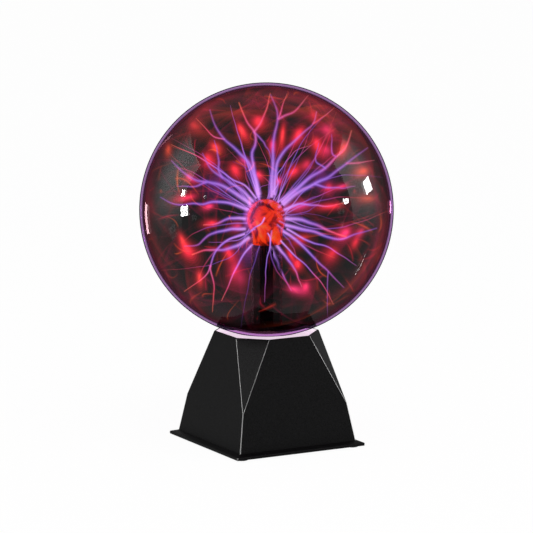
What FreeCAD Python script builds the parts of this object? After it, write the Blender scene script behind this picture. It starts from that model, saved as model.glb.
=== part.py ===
import FreeCAD, Part
import math
import os

import Sketcher
from FreeCAD import Placement, Rotation, Vector

# Plasma ball: a sealed glass globe with a glass electrode inside it, on a faceted ABS base that
# holds the high-voltage driver. Millimetres, +Z up. The origin is the centre of the footprint on
# the plane that the rubber feet stand on. -Y is the front face, and +Y is the rear face, which
# holds the rocker switch and the power inlet. The rocker is drawn at ON, its stop.

SIZES = {
    # stance
    "foot_stand": (1.0, "how far each foot stands out of the plinth"),
    "foot_radius": (5.0, "rubber foot"),
    "foot_recess": (1.0, "depth of the pocket that each foot is glued in"),
    "foot_place": (49.5, "centre of each foot, along X and Y"),
    # plinth
    "plinth_half": (57.25, "half the side of the plinth"),
    "plinth_edge": (2.3, "thickness of the plinth at its edge"),
    "plinth_rise": (1.6, "rise of the plinth from its edge to the shell"),
    "plinth_corner": (0.8, "radius of the plinth's corners"),
    "rim_tall": (3.0, "locating rim inside the shell"),
    "rim_wall": (1.8, "thickness of the locating rim"),
    "fit_gap": (0.2, "gap between two plastic parts that locate each other"),
    # shell
    "shell_foot_half": (51.8, "half the side of the shell at its foot"),
    "shell_top_half": (37.2, "half the side of the shell at its top"),
    "shell_tall": (84.6, "height of the shell"),
    "shell_wall": (2.8, "wall of the shell"),
    "facet_start": (28.9, "height above the shell's foot where the corner facets start"),
    "facet_top": (18.1, "distance from the middle of a top side to where a facet starts"),
    "crease_radius": (0.55, "radius along the shell's creases"),
    "boss_place": (41.0, "centre of each screw boss, along X and Y"),
    "boss_radius": (3.5, "screw boss"),
    "boss_tall": (26.0, "length of a screw boss"),
    "mouth_radius": (23.4, "opening in the top of the shell for the neck"),
    # seat of the globe
    "seat_inset": (1.2, "black rim left round the seat plate"),
    "seat_thick": (1.2, "thickness of the seat plate"),
    "seat_hole": (27.6, "hole in the seat plate"),
    "gasket_outer": (27.4, "outer radius of the gasket"),
    "gasket_inner": (23.6, "inner radius of the gasket"),
    "glass_gap": (0.05, "gap between glass and what it rests in"),
    # globe
    "globe_radius": (100.0, "outer radius of the globe"),
    "globe_wall": (1.8, "wall of the globe"),
    "globe_lift": (96.25, "height of the globe's centre above the seat plate"),
    "neck_radius": (18.0, "outer radius of the neck"),
    "neck_long": (27.2, "length of the neck below the top of the shell"),
    "tip_radius": (2.2, "exhaust tip"),
    "tip_long": (8.0, "length of the exhaust tip"),
    # electrode
    "bulb_radius": (15.5, "outer radius of the electrode's bulb"),
    "bulb_drop": (6.9, "centre of the bulb below the centre of the globe"),
    "bulb_blend": (40.0, "radius of the hollow curve from bulb to stem"),
    "stem_radius": (12.3, "outer radius of the stem tube"),
    "stem_wall": (1.0, "wall of the stem tube and bulb"),
    "flare_thick": (1.8, "thickness of the flare that closes the neck"),
    "fill_drop": (20.1, "flat end of the filling below the bulb's centre"),
    "sleeve_radius": (5.3, "black sleeve round the high-voltage lead"),
    "sleeve_bore": (1.8, "bore of the sleeve"),
    "lead_radius": (1.4, "high-voltage lead"),
    "bung_tall": (6.0, "length of the bung in the stem's lower end"),
    # neck collar
    "collar_inner": (18.8, "bore of the collar"),
    "collar_outer": (21.5, "outer radius of the collar's sleeve"),
    "collar_tall": (19.0, "length of the collar"),
    "collar_flange": (31.0, "radius of the collar's flange"),
    "flange_thick": (2.0, "thickness of the collar's flange"),
    "post_radius": (3.0, "posts under the shell's top that take the collar's screws"),
    "post_tall": (6.0, "length of those posts"),
    "post_circle": (27.0, "radius of the circle that they stand on"),
    # fasteners
    "screw_radius": (1.45, "shank of every screw"),
    "screw_hole": (1.5, "hole that a shank is driven into"),
    "screw_clear": (1.7, "hole that a shank passes through"),
    "head_radius": (2.7, "screw head"),
    "head_tall": (1.6, "height of a screw head"),
    "head_sink": (1.9, "depth of the pocket for a screw head"),
    # circuit board
    "board_wide": (78.0, "circuit board along X"),
    "board_deep": (60.0, "circuit board along Y"),
    "board_thick": (1.6, "thickness of the circuit board"),
    "board_shift": (-4.0, "centre of the board along Y"),
    "board_level": (17.0, "underside of the board above the feet"),
    "board_screw_x": (35.0, "board screws along X"),
    "board_screw_y": (26.0, "board screws along Y, from the board's centre"),
    "standoff_radius": (3.2, "standoffs under the board"),
    # transformer
    "core_x": (-9.0, "middle of the core along X"),
    "core_y": (-20.0, "middle of the core along Y"),
    "core_lift": (1.5, "core above the board"),
    "core_wide": (42.0, "ferrite core along X"),
    "core_deep": (7.0, "ferrite core along Y"),
    "core_tall": (33.0, "height of the ferrite core"),
    "core_leg": (7.0, "width of each leg of the core"),
    "coil_gap": (0.3, "gap between the core and what is wound on it"),
    "primary_radius": (7.0, "primary winding"),
    "barrel_radius": (6.4, "barrel of the bobbin"),
    "bobbin_radius": (12.0, "flanges of the bobbin"),
    "bobbin_flange": (1.2, "thickness of the bobbin's flanges"),
    "coil_radius": (11.4, "high-voltage winding"),
    # transistor and heatsink
    "sink_x": (28.75, "face of the heatsink that the transistor is screwed to, along X"),
    "sink_y": (-8.0, "middle of the heatsink along Y"),
    "sink_tall": (28.0, "height of the heatsink"),
    "sink_wide": (26.0, "heatsink along Y"),
    "sink_plate": (2.5, "thickness of the heatsink's plate"),
    "fin_deep": (7.0, "depth of the heatsink's fins"),
    "fin_thick": (1.6, "thickness of a fin"),
    "fin_pitch": (6.0, "distance between fins"),
    "case_wide": (10.2, "transistor case across"),
    "case_deep": (4.4, "thickness of the transistor's case"),
    "case_tall": (9.2, "height of the transistor's case"),
    "case_lift": (4.0, "transistor's case above the board"),
    "tab_thick": (1.3, "transistor's metal tab"),
    "tab_tall": (15.6, "height of the tab with the case"),
    "tab_screw": (16.5, "screw through the tab, above the board"),
    "lead_pitch": (2.54, "distance between the legs of a component"),
    # rear panel
    "panel_level": (43.0, "height of the switch and the inlet above the feet"),
    "panel_spread": (17.0, "switch and inlet on each side of the middle"),
    "switch_long": (19.0, "switch housing up the slope"),
    "switch_wide": (12.6, "switch housing across"),
    "switch_deep": (16.0, "switch housing behind the panel"),
    "bezel_lap": (1.2, "bezel over the edge of the cut-out"),
    "bezel_thick": (1.6, "bezel in front of the panel"),
    "well_long": (16.8, "well for the rocker, up the slope"),
    "well_wide": (9.8, "well for the rocker, across"),
    "well_deep": (8.5, "well for the rocker, behind the panel"),
    "pivot_deep": (1.6, "rocker pivot behind the panel"),
    "pivot_radius": (1.1, "rocker trunnions"),
    "pivot_gap": (0.06, "radial running clearance of the trunnions"),
    "pivot_reach": (0.9, "how far a trunnion enters the housing's wall"),
    "rocker_end": (7.95, "radius of the rocker's ends about its pivot"),
    "rocker_wide": (9.2, "rocker across"),
    "rocker_skirt": (3.4, "rocker below its pivot, at its middle"),
    "rocker_crest": (3.1, "top of the rocker above its pivot, at its middle"),
    "rocker_horn": (5.6, "top of the rocker above its pivot, at its ends"),
    "rocker_lean": (12.0, "rocker either side of OFF, degrees"),
    "blade_wide": (4.8, "switch terminal"),
    "blade_thick": (0.8, "thickness of every terminal"),
    "blade_long": (7.5, "length of a switch terminal"),
    "blade_pitch": (6.0, "distance between switch terminals"),
    "inlet_radius": (5.5, "barrel of the power inlet"),
    "inlet_flange": (7.0, "flange of the power inlet"),
    "inlet_lip": (1.6, "thickness of that flange"),
    "inlet_deep": (11.0, "inlet barrel behind the panel"),
    "socket_radius": (2.95, "socket for a 5.5 mm plug"),
    "socket_deep": (10.0, "depth of the socket from the flange's face"),
    "contact_radius": (1.0, "centre contact, for a 2.1 mm plug"),
    "contact_short": (1.5, "centre contact below the flange's face"),
    "nut_flats": (14.0, "inlet nut across flats"),
    "nut_thick": (2.5, "inlet nut"),
    "wire_radius": (0.8, "insulated hook-up wire"),
}

doc = FreeCAD.newDocument("PlasmaBall")
sheet = doc.addObject("Spreadsheet::Sheet", "Sizes")
for row, (alias, (number, note)) in enumerate(SIZES.items(), start=1):
    sheet.set(f"A{row}", str(number))
    sheet.setAlias(f"A{row}", alias)
    sheet.set(f"B{row}", note)
doc.recompute()


class Size:
    """A number that carries the sheet expression it comes from, so that it can be bound."""

    def __init__(self, number, text=None):
        self.number = float(number)
        self.text = text or f"{self.number:.6f}"

    def mixed(self, other, sign, number):
        return Size(number, f"({self.text} {sign} {sized(other).text})")

    def __add__(self, other):
        return self.mixed(other, "+", self.number + sized(other).number)

    def __sub__(self, other):
        return self.mixed(other, "-", self.number - sized(other).number)

    def __mul__(self, other):
        return self.mixed(other, "*", self.number * sized(other).number)

    def __truediv__(self, other):
        return self.mixed(other, "/", self.number / sized(other).number)

    def __neg__(self):
        return self * -1

    def root(self):
        return Size(math.sqrt(self.number), f"sqrt({self.text})")

    def lean(self):
        """The angle in degrees whose tangent this is."""
        return Size(math.degrees(math.atan(self.number)), f"(atan({self.text}) / 1 deg)")


def sized(value):
    return value if isinstance(value, Size) else Size(value)


def side_of(long_side, other_side):
    """The third side of a right triangle with this longest side."""
    return (long_side * long_side - other_side * other_side).root()


class Sheet:
    """The sheet's cells by alias, each as a Size."""

    def __getattr__(self, alias):
        return Size(getattr(sheet, alias), f"Sizes.{alias}")


d = Sheet()


# --- Heights and slopes that several pieces share ---------------------------------------------

plinth_under = d.foot_stand
shell_foot = d.foot_stand + d.plinth_edge + d.plinth_rise
shell_top = shell_foot + d.shell_tall
shell_slope = (d.shell_foot_half - d.shell_top_half) / d.shell_tall
globe_centre = shell_top + d.globe_lift
neck_end = shell_top - d.neck_long
bulb_centre = globe_centre - d.bulb_drop
fill_end = bulb_centre - d.fill_drop
board_top = d.board_level + d.board_thick
ceiling = shell_top - d.shell_wall
collar_face = ceiling - d.post_tall


def shell_half(level):
    """Half the side of the shell at a height above the feet."""
    return d.shell_foot_half - (level - shell_foot) * shell_slope


panel_lean = shell_slope.lean()
panel_face = shell_half(d.panel_level)
panel_turn = panel_lean - 90


# --- Binding, placing and sketching -----------------------------------------------------------


def bind(piece, **sizes):
    for name, size in sizes.items():
        setattr(piece, name, sized(size).number)
        piece.setExpression(name, sized(size).text)


def place(piece, at=(0, 0, 0), axis=None, turn=0, prop="Placement"):
    """Puts a piece at a point, turned about an axis, with every number bound to the sheet."""
    x, y, z = (sized(value) for value in at)
    turn = sized(turn)
    rotation = Rotation(Vector(*(axis or (0, 0, 1))), turn.number)
    setattr(piece, prop, Placement(Vector(x.number, y.number, z.number), rotation))
    for name, size in (("x", x), ("y", y), ("z", z)):
        piece.setExpression(f"{prop}.Base.{name}", size.text)
    if axis:
        piece.setExpression(f"{prop}.Rotation.Angle", turn.text)


def on_panel(piece, side, lift=0, lean=0):
    """Puts a piece drawn with +Z out of the rear panel on it: side is -1 for the switch and 1
    for the inlet, lift is a distance out of the panel, and lean tips its lower end outwards."""
    run = math.radians(panel_lean.number)
    at = (
        d.panel_spread * side,
        panel_face + sized(lift) * math.cos(run),
        d.panel_level + sized(lift) * math.sin(run),
    )
    place(piece, at, (1, 0, 0), panel_turn + lean)


def new_body(label):
    body = doc.addObject("PartDesign::Body", label)
    body.Label = label
    return body


def new_sketch(body, plane="XY_Plane", at=(0, 0, 0), axis=None, turn=0):
    """A sketch on one of the body's own planes, moved and turned from it."""
    sketch = body.newObject("Sketcher::SketchObject", "Sketch")
    support = next(f for f in body.Origin.OriginFeatures if f.Role == plane)
    sketch.AttachmentSupport = (support, [""])
    sketch.MapMode = "FlatFace"
    place(sketch, at, axis, turn, prop="AttachmentOffset")
    return sketch


def tie(sketch, geometry, vertex, x, y):
    """Binds a point's two coordinates. A zero puts it on the sketch's own axis."""
    for kind, size, axis_line in (("DistanceX", x, -2), ("DistanceY", y, -1)):
        if size.number == 0 and size.text == Size(0).text:
            sketch.addConstraint(Sketcher.Constraint("PointOnObject", geometry, vertex, axis_line))
            continue
        number = sketch.addConstraint(
            Sketcher.Constraint(kind, -1, 1, geometry, vertex, size.number)
        )
        sketch.setExpression(f"Constraints[{number}]", size.text)


def outline(sketch, corners, arcs=None):
    """Draws a closed outline with every corner bound. arcs gives a side's number its radius,
    which is negative where the arc turns clockwise on its way to the next corner."""
    corners = [(sized(x), sized(y)) for x, y in corners]
    points = [Vector(x.number, y.number, 0) for x, y in corners]
    ends = []
    for side, start in enumerate(points):
        stop = points[(side + 1) % len(points)]
        radius = sized((arcs or {}).get(side, 0))
        if radius.number == 0:
            number = sketch.addGeometry(Part.LineSegment(start, stop))
            ends.append((number, 1, 2))
            continue
        chord = stop - start
        reach = math.sqrt(radius.number**2 - (chord.Length / 2) ** 2)
        left = Vector(-chord.y, chord.x, 0) / chord.Length
        centre = (start + stop) / 2 + left * math.copysign(reach, radius.number)
        first, last = (start, stop) if radius.number > 0 else (stop, start)
        angles = [math.atan2((p - centre).y, (p - centre).x) for p in (first, last)]
        circle = Part.Circle(centre, Vector(0, 0, 1), abs(radius.number))
        number = sketch.addGeometry(Part.ArcOfCircle(circle, *angles))
        ends.append((number, 1, 2) if radius.number > 0 else (number, 2, 1))
        size = radius if radius.number > 0 else -radius
        fixed = sketch.addConstraint(Sketcher.Constraint("Radius", number, size.number))
        sketch.setExpression(f"Constraints[{fixed}]", size.text)
    for side, (number, start, stop) in enumerate(ends):
        tie(sketch, number, start, *corners[side])
        following, joint, _ = ends[(side + 1) % len(ends)]
        sketch.addConstraint(Sketcher.Constraint("Coincident", number, stop, following, joint))


def square(sketch, half_x, half_y=None, x=0, y=0):
    half_x, half_y = sized(half_x), sized(half_y or half_x)
    x, y = sized(x), sized(y)
    signs = ((-1, -1), (1, -1), (1, 1), (-1, 1))
    outline(sketch, [(x + half_x * a, y + half_y * b) for a, b in signs])


def circle(sketch, radius, x=0, y=0):
    radius, x, y = sized(radius), sized(x), sized(y)
    shape = Part.Circle(Vector(x.number, y.number, 0), Vector(0, 0, 1), radius.number)
    number = sketch.addGeometry(shape)
    fixed = sketch.addConstraint(Sketcher.Constraint("Radius", number, radius.number))
    sketch.setExpression(f"Constraints[{fixed}]", radius.text)
    tie(sketch, number, 3, x, y)


def four_circles(sketch, radius, place_x, place_y=None, shift_y=0):
    for a, b in ((-1, -1), (1, -1), (1, 1), (-1, 1)):
        circle(sketch, radius, sized(place_x) * a, sized(shift_y) + sized(place_y or place_x) * b)


def feature(body, kind, sketch, **settings):
    made = body.newObject(f"PartDesign::{kind}", kind)
    made.Profile = sketch
    for name, value in settings.items():
        if isinstance(value, (Size, float, int)) and not isinstance(value, bool):
            bind(made, **{name: value})
        else:
            setattr(made, name, value)
    sketch.Visibility = False
    doc.recompute()
    return made


def pad(body, sketch, length, **settings):
    return feature(body, "Pad", sketch, Length=length, **settings)


def pocket(body, sketch, length, **settings):
    """A cut that has to take something away."""
    before = body.Shape.Volume
    made = feature(body, "Pocket", sketch, Length=length, **settings)
    if body.Shape.Volume >= before:
        raise RuntimeError(f"a pocket in {body.Label} cut nothing")
    return made


def loft(body, first, second):
    return feature(body, "AdditiveLoft", first, Sections=[(second, [""])], Ruled=True)


def turned(label, corners, arcs=None):
    """A round body from its half section: each corner is a radius and a height."""
    body = new_body(label)
    sketch = new_sketch(body, "XZ_Plane")
    outline(sketch, corners, arcs)
    feature(body, "Revolution", sketch, ReferenceAxis=(sketch, ["V_Axis"]), Angle=360)
    return body


def fillet(body, radius, chosen):
    """Rounds the edges of the body's last shape that chosen(edge) picks."""
    base = body.Tip
    names = [f"Edge{n}" for n, edge in enumerate(base.Shape.Edges, 1) if chosen(edge)]
    made = body.newObject("PartDesign::Fillet", "Fillet")
    made.Base = (base, names)
    bind(made, Radius=radius)
    doc.recompute()
    return made


def solid(kind, label="Blank", at=(0, 0, 0), axis=None, turn=0, **sizes):
    """One of Part's own primitives, bound and placed."""
    piece = doc.addObject(f"Part::{kind}", label)
    bind(piece, **sizes)
    place(piece, at, axis, turn)
    return piece


def block(size_x, size_y, size_z, at, label="Blank"):
    """A box whose place is the middle of its underside."""
    x, y, z = (sized(value) for value in at)
    size_x, size_y = sized(size_x), sized(size_y)
    corner = (x - size_x / 2, y - size_y / 2, z)
    return solid("Box", label, corner, Length=size_x, Width=size_y, Height=size_z)


def rod(radius, height, at, label="Blank", axis=None, turn=0):
    return solid("Cylinder", label, at, axis, turn, Radius=radius, Height=height)


def cut(base, *tools, label="Cut"):
    made = doc.addObject("Part::Cut", label)
    made.Base = base
    made.Tool = tools[0] if len(tools) == 1 else fuse(*tools)
    return made


def fuse(*pieces, label="Fused"):
    made = doc.addObject("Part::MultiFuse", label)
    made.Shapes = list(pieces)
    return made


def group(label, *pieces):
    """Separate solids that share one node."""
    made = doc.addObject("Part::Compound", label)
    made.Links = list(pieces)
    made.Label = label
    return made


def named(label, piece):
    piece.Label = label
    return piece


# --- Base ---------------------------------------------------------------------------------------


def base_shell():
    """ABS moulding: a square frustum whose upper corners are cut away by four facets."""
    body = new_body("base_shell")
    foot, top = new_sketch(body, at=(0, 0, shell_foot)), new_sketch(body, at=(0, 0, shell_top))
    square(foot, d.shell_foot_half)
    square(top, d.shell_top_half)
    loft(body, foot, top)

    diagonal = math.sqrt(2)
    start = shell_foot + d.facet_start
    start_out = shell_half(start) * diagonal
    top_out = (d.shell_top_half + d.facet_top) / diagonal
    spare = 5.0
    facet = new_sketch(body, "XZ_Plane", axis=(0, 1, 0), turn=45)
    outline(facet, [
        (start_out, start),
        (start_out + spare, start),
        (start_out + spare, shell_top + spare),
        (top_out, shell_top + spare),
        (top_out, shell_top),
    ])
    cutter = pocket(body, facet, d.shell_top_half * 4, Midplane=True)
    facets = body.newObject("PartDesign::PolarPattern", "Facets")
    facets.Originals = [cutter]
    facets.Axis = (new_sketch(body), ["N_Axis"])
    facets.Angle = 360
    facets.Occurrences = 4
    body.Tip = facets
    doc.recompute()

    under = min(enumerate(facets.Shape.Faces, 1), key=lambda face: face[1].CenterOfMass.z)[0]
    walls = body.newObject("PartDesign::Thickness", "Walls")
    walls.Base = (facets, [f"Face{under}"])
    walls.Join = "Intersection"
    walls.Reversed = True
    bind(walls, Value=d.shell_wall)
    doc.recompute()

    crease_feet = [Vector(0, 0, 0)]
    for a in (-1, 1):
        for b in (-1, 1):
            for half, level in ((d.shell_foot_half, shell_foot), (shell_half(start), start)):
                crease_feet.append(Vector(half.number * a, half.number * b, level.number))
            for x, y in ((d.shell_top_half, d.facet_top), (d.facet_top, d.shell_top_half)):
                crease_feet.append(Vector(x.number * a, y.number * b, shell_top.number))

    def is_crease(edge):
        ends = [v.Point for v in edge.Vertexes]
        on_outside = all(min((p - c).Length for c in crease_feet) < 0.05 for p in ends)
        return on_outside and max(p.z for p in ends) > shell_foot.number + 1

    fillet(body, d.crease_radius, is_crease)

    recess = new_sketch(body, at=(0, 0, shell_top))
    octagon(recess, d.seat_inset)
    pocket(body, recess, d.seat_thick)
    mouth = new_sketch(body, at=(0, 0, shell_top))
    circle(mouth, d.mouth_radius)
    pocket(body, mouth, d.shell_wall * 2)

    bosses = new_sketch(body, at=(0, 0, shell_foot + d.fit_gap))
    four_circles(bosses, d.boss_radius, d.boss_place)
    pad(body, bosses, d.boss_tall)
    posts = new_sketch(body, at=(0, 0, collar_face))
    four_circles(posts, d.post_radius, d.post_circle / diagonal)
    pad(body, posts, d.post_tall + d.fit_gap)
    pilots = new_sketch(body, at=(0, 0, shell_foot + d.fit_gap))
    four_circles(pilots, d.screw_hole, d.boss_place)
    pocket(body, pilots, d.boss_tall / 2, Reversed=True)
    post_pilots = new_sketch(body, at=(0, 0, collar_face))
    four_circles(post_pilots, d.screw_hole, d.post_circle / diagonal)
    pocket(body, post_pilots, d.post_tall, Reversed=True)

    holes = new_sketch(body, at=(0, panel_face, d.panel_level), axis=(1, 0, 0), turn=panel_turn)
    cut_long, cut_wide = d.switch_long + d.fit_gap * 2, d.switch_wide + d.fit_gap * 2
    square(holes, cut_wide / 2, cut_long / 2, x=-d.panel_spread)
    circle(holes, d.inlet_radius + d.fit_gap, x=d.panel_spread)
    pocket(body, holes, d.shell_wall * 3, Midplane=True)
    return body


def octagon(sketch, inset):
    """The outline of the shell's top, moved in by inset."""
    half = d.shell_top_half - inset
    cut_half = d.facet_top - sized(inset) * math.tan(math.radians(22.5))
    quarter = [(half, -cut_half), (half, cut_half)]
    corners = []
    for step in range(4):
        for x, y in quarter:
            corners.append(((x, y), (-y, x), (-x, -y), (y, -x))[step])
    outline(sketch, corners)


def plinth_plate():
    """ABS plate that closes the base, with standoffs for the board and a rim inside the shell."""
    body = new_body("plinth_plate")
    edge = new_sketch(body, at=(0, 0, plinth_under))
    square(edge, d.plinth_half)
    pad(body, edge, d.plinth_edge)
    wide = new_sketch(body, at=(0, 0, plinth_under + d.plinth_edge))
    narrow = new_sketch(body, at=(0, 0, shell_foot))
    square(wide, d.plinth_half)
    square(narrow, d.shell_foot_half)
    loft(body, wide, narrow)

    def is_corner(edge_line):
        ends = [v.Point for v in edge_line.Vertexes]
        limit = d.plinth_half.number - 0.1
        return all(abs(abs(p.x) - limit) < 0.2 and abs(abs(p.y) - limit) < 0.2 for p in ends)

    fillet(body, d.plinth_corner, is_corner)
    rim_half = d.shell_foot_half - d.shell_wall - d.fit_gap - d.rim_tall * shell_slope
    rim = new_sketch(body, at=(0, 0, shell_foot))
    square(rim, rim_half)
    square(rim, rim_half - d.rim_wall)
    pad(body, rim, d.rim_tall)
    corner_gaps = new_sketch(body, at=(0, 0, shell_foot))
    four_circles(corner_gaps, d.boss_radius * 3, d.boss_place)
    pocket(body, corner_gaps, d.rim_tall * 2, Reversed=True)
    standoffs = new_sketch(body, at=(0, 0, plinth_under + d.plinth_edge))
    four_circles(standoffs, d.standoff_radius, d.board_screw_x, d.board_screw_y, d.board_shift)
    pad(body, standoffs, d.board_level - plinth_under - d.plinth_edge)
    standoff_pilots = new_sketch(body, at=(0, 0, d.board_level))
    four_circles(
        standoff_pilots, d.screw_hole, d.board_screw_x, d.board_screw_y, d.board_shift
    )
    pocket(body, standoff_pilots, d.board_level / 2)
    screw_holes = new_sketch(body, at=(0, 0, plinth_under))
    four_circles(screw_holes, d.screw_clear, d.boss_place)
    pocket(body, screw_holes, shell_foot, Reversed=True)
    for radius, depth, where in (
        (d.head_radius + d.fit_gap, d.head_sink, d.boss_place),
        (d.foot_radius + d.fit_gap, d.foot_recess, d.foot_place),
    ):
        sink = new_sketch(body, at=(0, 0, plinth_under))
        four_circles(sink, radius, where)
        pocket(body, sink, depth, Reversed=True)
    return body


def corners_of(place_x, place_y=None, shift_y=0):
    for a, b in ((-1, -1), (1, -1), (1, 1), (-1, 1)):
        yield sized(place_x) * a, sized(shift_y) + sized(place_y or place_x) * b


def rubber_feet():
    tall = d.foot_stand + d.foot_recess
    feet = []
    for x, y in corners_of(d.foot_place):
        feet.append(rod(d.foot_radius, tall, (x, y, 0)))
    return group("rubber_feet", *feet)


def screw(x, y, head_face, length, up):
    """A pan-head screw. head_face is where its head meets what it holds, and up is 1 where its
    shank points up."""
    head_low = head_face - d.head_tall if up > 0 else head_face
    shank_low = head_face if up > 0 else head_face - length
    head = rod(d.head_radius, d.head_tall, (x, y, head_low))
    return fuse(head, rod(d.screw_radius, length, (x, y, shank_low)))


def base_screws():
    seat = plinth_under + d.head_sink
    grip = d.boss_tall / 2
    made = [screw(x, y, seat, grip, 1) for x, y in corners_of(d.boss_place)]
    return group("base_screws", *made)


def seat_plate():
    """Milky plate let into the top of the shell."""
    body = new_body("seat_plate")
    sketch = new_sketch(body, at=(0, 0, shell_top - d.seat_thick))
    octagon(sketch, d.seat_inset + d.fit_gap)
    circle(sketch, d.seat_hole)
    pad(body, sketch, d.seat_thick)
    return body


# --- Globe --------------------------------------------------------------------------------------


def globe_drop(radius, out):
    """Depth below the globe's centre where a sphere of this radius is this far from its axis."""
    return side_of(sized(radius), sized(out))


def globe_gasket():
    """Silicone ring that the globe beds on."""
    ball = d.globe_radius + d.glass_gap
    low = shell_top - d.seat_thick
    return turned("globe_gasket", [
        (d.gasket_inner, low),
        (d.gasket_outer, low),
        (d.gasket_outer, globe_centre - globe_drop(ball, d.gasket_outer)),
        (d.gasket_inner, globe_centre - globe_drop(ball, d.gasket_inner)),
    ], {2: -ball})


def glass_globe():
    """Blown glass: one wall from the crown to the end of the neck."""
    inner, neck_inner = d.globe_radius - d.globe_wall, d.neck_radius - d.globe_wall
    return turned("glass_globe", [
        (0, globe_centre + d.globe_radius),
        (0, globe_centre + inner),
        (neck_inner, globe_centre - globe_drop(inner, neck_inner)),
        (neck_inner, neck_end),
        (d.neck_radius, neck_end),
        (d.neck_radius, globe_centre - globe_drop(d.globe_radius, d.neck_radius)),
    ], {1: -inner, 5: d.globe_radius})


def bulb_curve(inset):
    """The bulb's half section from its crown to the straight stem, moved in by inset."""
    bulb, stem, blend = d.bulb_radius - inset, d.stem_radius - inset, d.bulb_blend + inset
    drop = side_of(bulb + blend, stem + blend)
    share = bulb / (bulb + blend)
    corners = [
        (0, bulb_centre + bulb),
        ((stem + blend) * share, bulb_centre - drop * share),
        (stem, bulb_centre - drop),
    ]
    return corners, {0: -bulb, 1: blend}


def electrode_glass():
    """Inner glass: bulb, stem tube and the flare that is fused to the end of the neck."""
    outer, outer_arcs = bulb_curve(0)
    inner, inner_arcs = bulb_curve(d.stem_wall)
    flare_low = neck_end - d.flare_thick
    corners = outer + [
        (d.stem_radius, neck_end),
        (d.neck_radius, neck_end),
        (d.neck_radius, flare_low),
        (d.stem_radius - d.stem_wall, flare_low),
    ] + inner[::-1]
    arcs = dict(outer_arcs)
    arcs.update({7: -inner_arcs[1], 8: -inner_arcs[0]})
    return turned("electrode_glass", corners, arcs)


def electrode_fill():
    """Conductive filling that fills the bulb and ends flat in the stem."""
    curve, arcs = bulb_curve(d.stem_wall + d.glass_gap)
    stem = d.stem_radius - d.stem_wall - d.glass_gap
    return turned("electrode_fill", curve + [(stem, fill_end), (0, fill_end)], arcs)


def exhaust_tip():
    """Glass nipple under the flare, where the globe was filled and sealed."""
    out = (d.stem_radius + d.neck_radius) / 2
    tip_top = neck_end - d.flare_thick
    straight = d.tip_long * 0.6
    tube = rod(d.tip_radius, straight, (0, out, tip_top - straight))
    taper = solid(
        "Cone",
        at=(0, out, tip_top - d.tip_long),
        Radius1=d.tip_radius / 4,
        Radius2=d.tip_radius,
        Height=d.tip_long - straight,
    )
    return named("exhaust_tip", fuse(tube, taper))


def ring(label, outer, inner, low, tall):
    low = sized(low)
    return turned(label, [(inner, low), (outer, low), (outer, low + tall), (inner, low + tall)])


def stem_parts():
    sleeve_low = neck_end - 9
    ring("stem_sleeve", d.sleeve_radius, d.sleeve_bore, sleeve_low, fill_end - sleeve_low)
    bore = d.stem_radius - d.stem_wall - d.glass_gap
    bung_low = neck_end - d.flare_thick
    ring("stem_bung", bore, d.sleeve_radius + d.glass_gap, bung_low, d.bung_tall)


def neck_collar():
    """ABS collar round the neck, screwed to the posts under the shell's top."""
    top = ceiling - d.flange_thick / 2
    body = turned("neck_collar", [
        (d.collar_inner, top - d.collar_tall),
        (d.collar_outer, top - d.collar_tall),
        (d.collar_outer, collar_face - d.flange_thick),
        (d.collar_flange, collar_face - d.flange_thick),
        (d.collar_flange, collar_face),
        (d.collar_outer, collar_face),
        (d.collar_outer, top),
        (d.collar_inner, top),
    ])
    holes = new_sketch(body, at=(0, 0, collar_face))
    four_circles(holes, d.screw_clear, d.post_circle / math.sqrt(2))
    pocket(body, holes, d.flange_thick)
    bead_long = d.collar_tall - d.flange_thick
    bead_low = top - d.collar_tall + d.flange_thick / 2
    ring(
        "silicone_bead",
        d.collar_inner - d.glass_gap,
        d.neck_radius + d.glass_gap,
        bead_low,
        bead_long,
    )
    where = corners_of(d.post_circle / math.sqrt(2))
    under = collar_face - d.flange_thick
    grip = d.flange_thick + d.post_tall * 0.8
    group("collar_screws", *[screw(x, y, under, grip, 1) for x, y in where])


# --- Driver board -------------------------------------------------------------------------------


def circuit_board():
    body = new_body("circuit_board")
    sketch = new_sketch(body, at=(0, 0, d.board_level))
    square(sketch, d.board_wide / 2, d.board_deep / 2, y=d.board_shift)
    four_circles(sketch, d.screw_clear, d.board_screw_x, d.board_screw_y, d.board_shift)
    pad(body, sketch, d.board_thick)
    where = corners_of(d.board_screw_x, d.board_screw_y, d.board_shift)
    grip = d.board_thick + d.board_level / 3
    group("board_screws", *[screw(x, y, board_top, grip, -1) for x, y in where])


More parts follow.
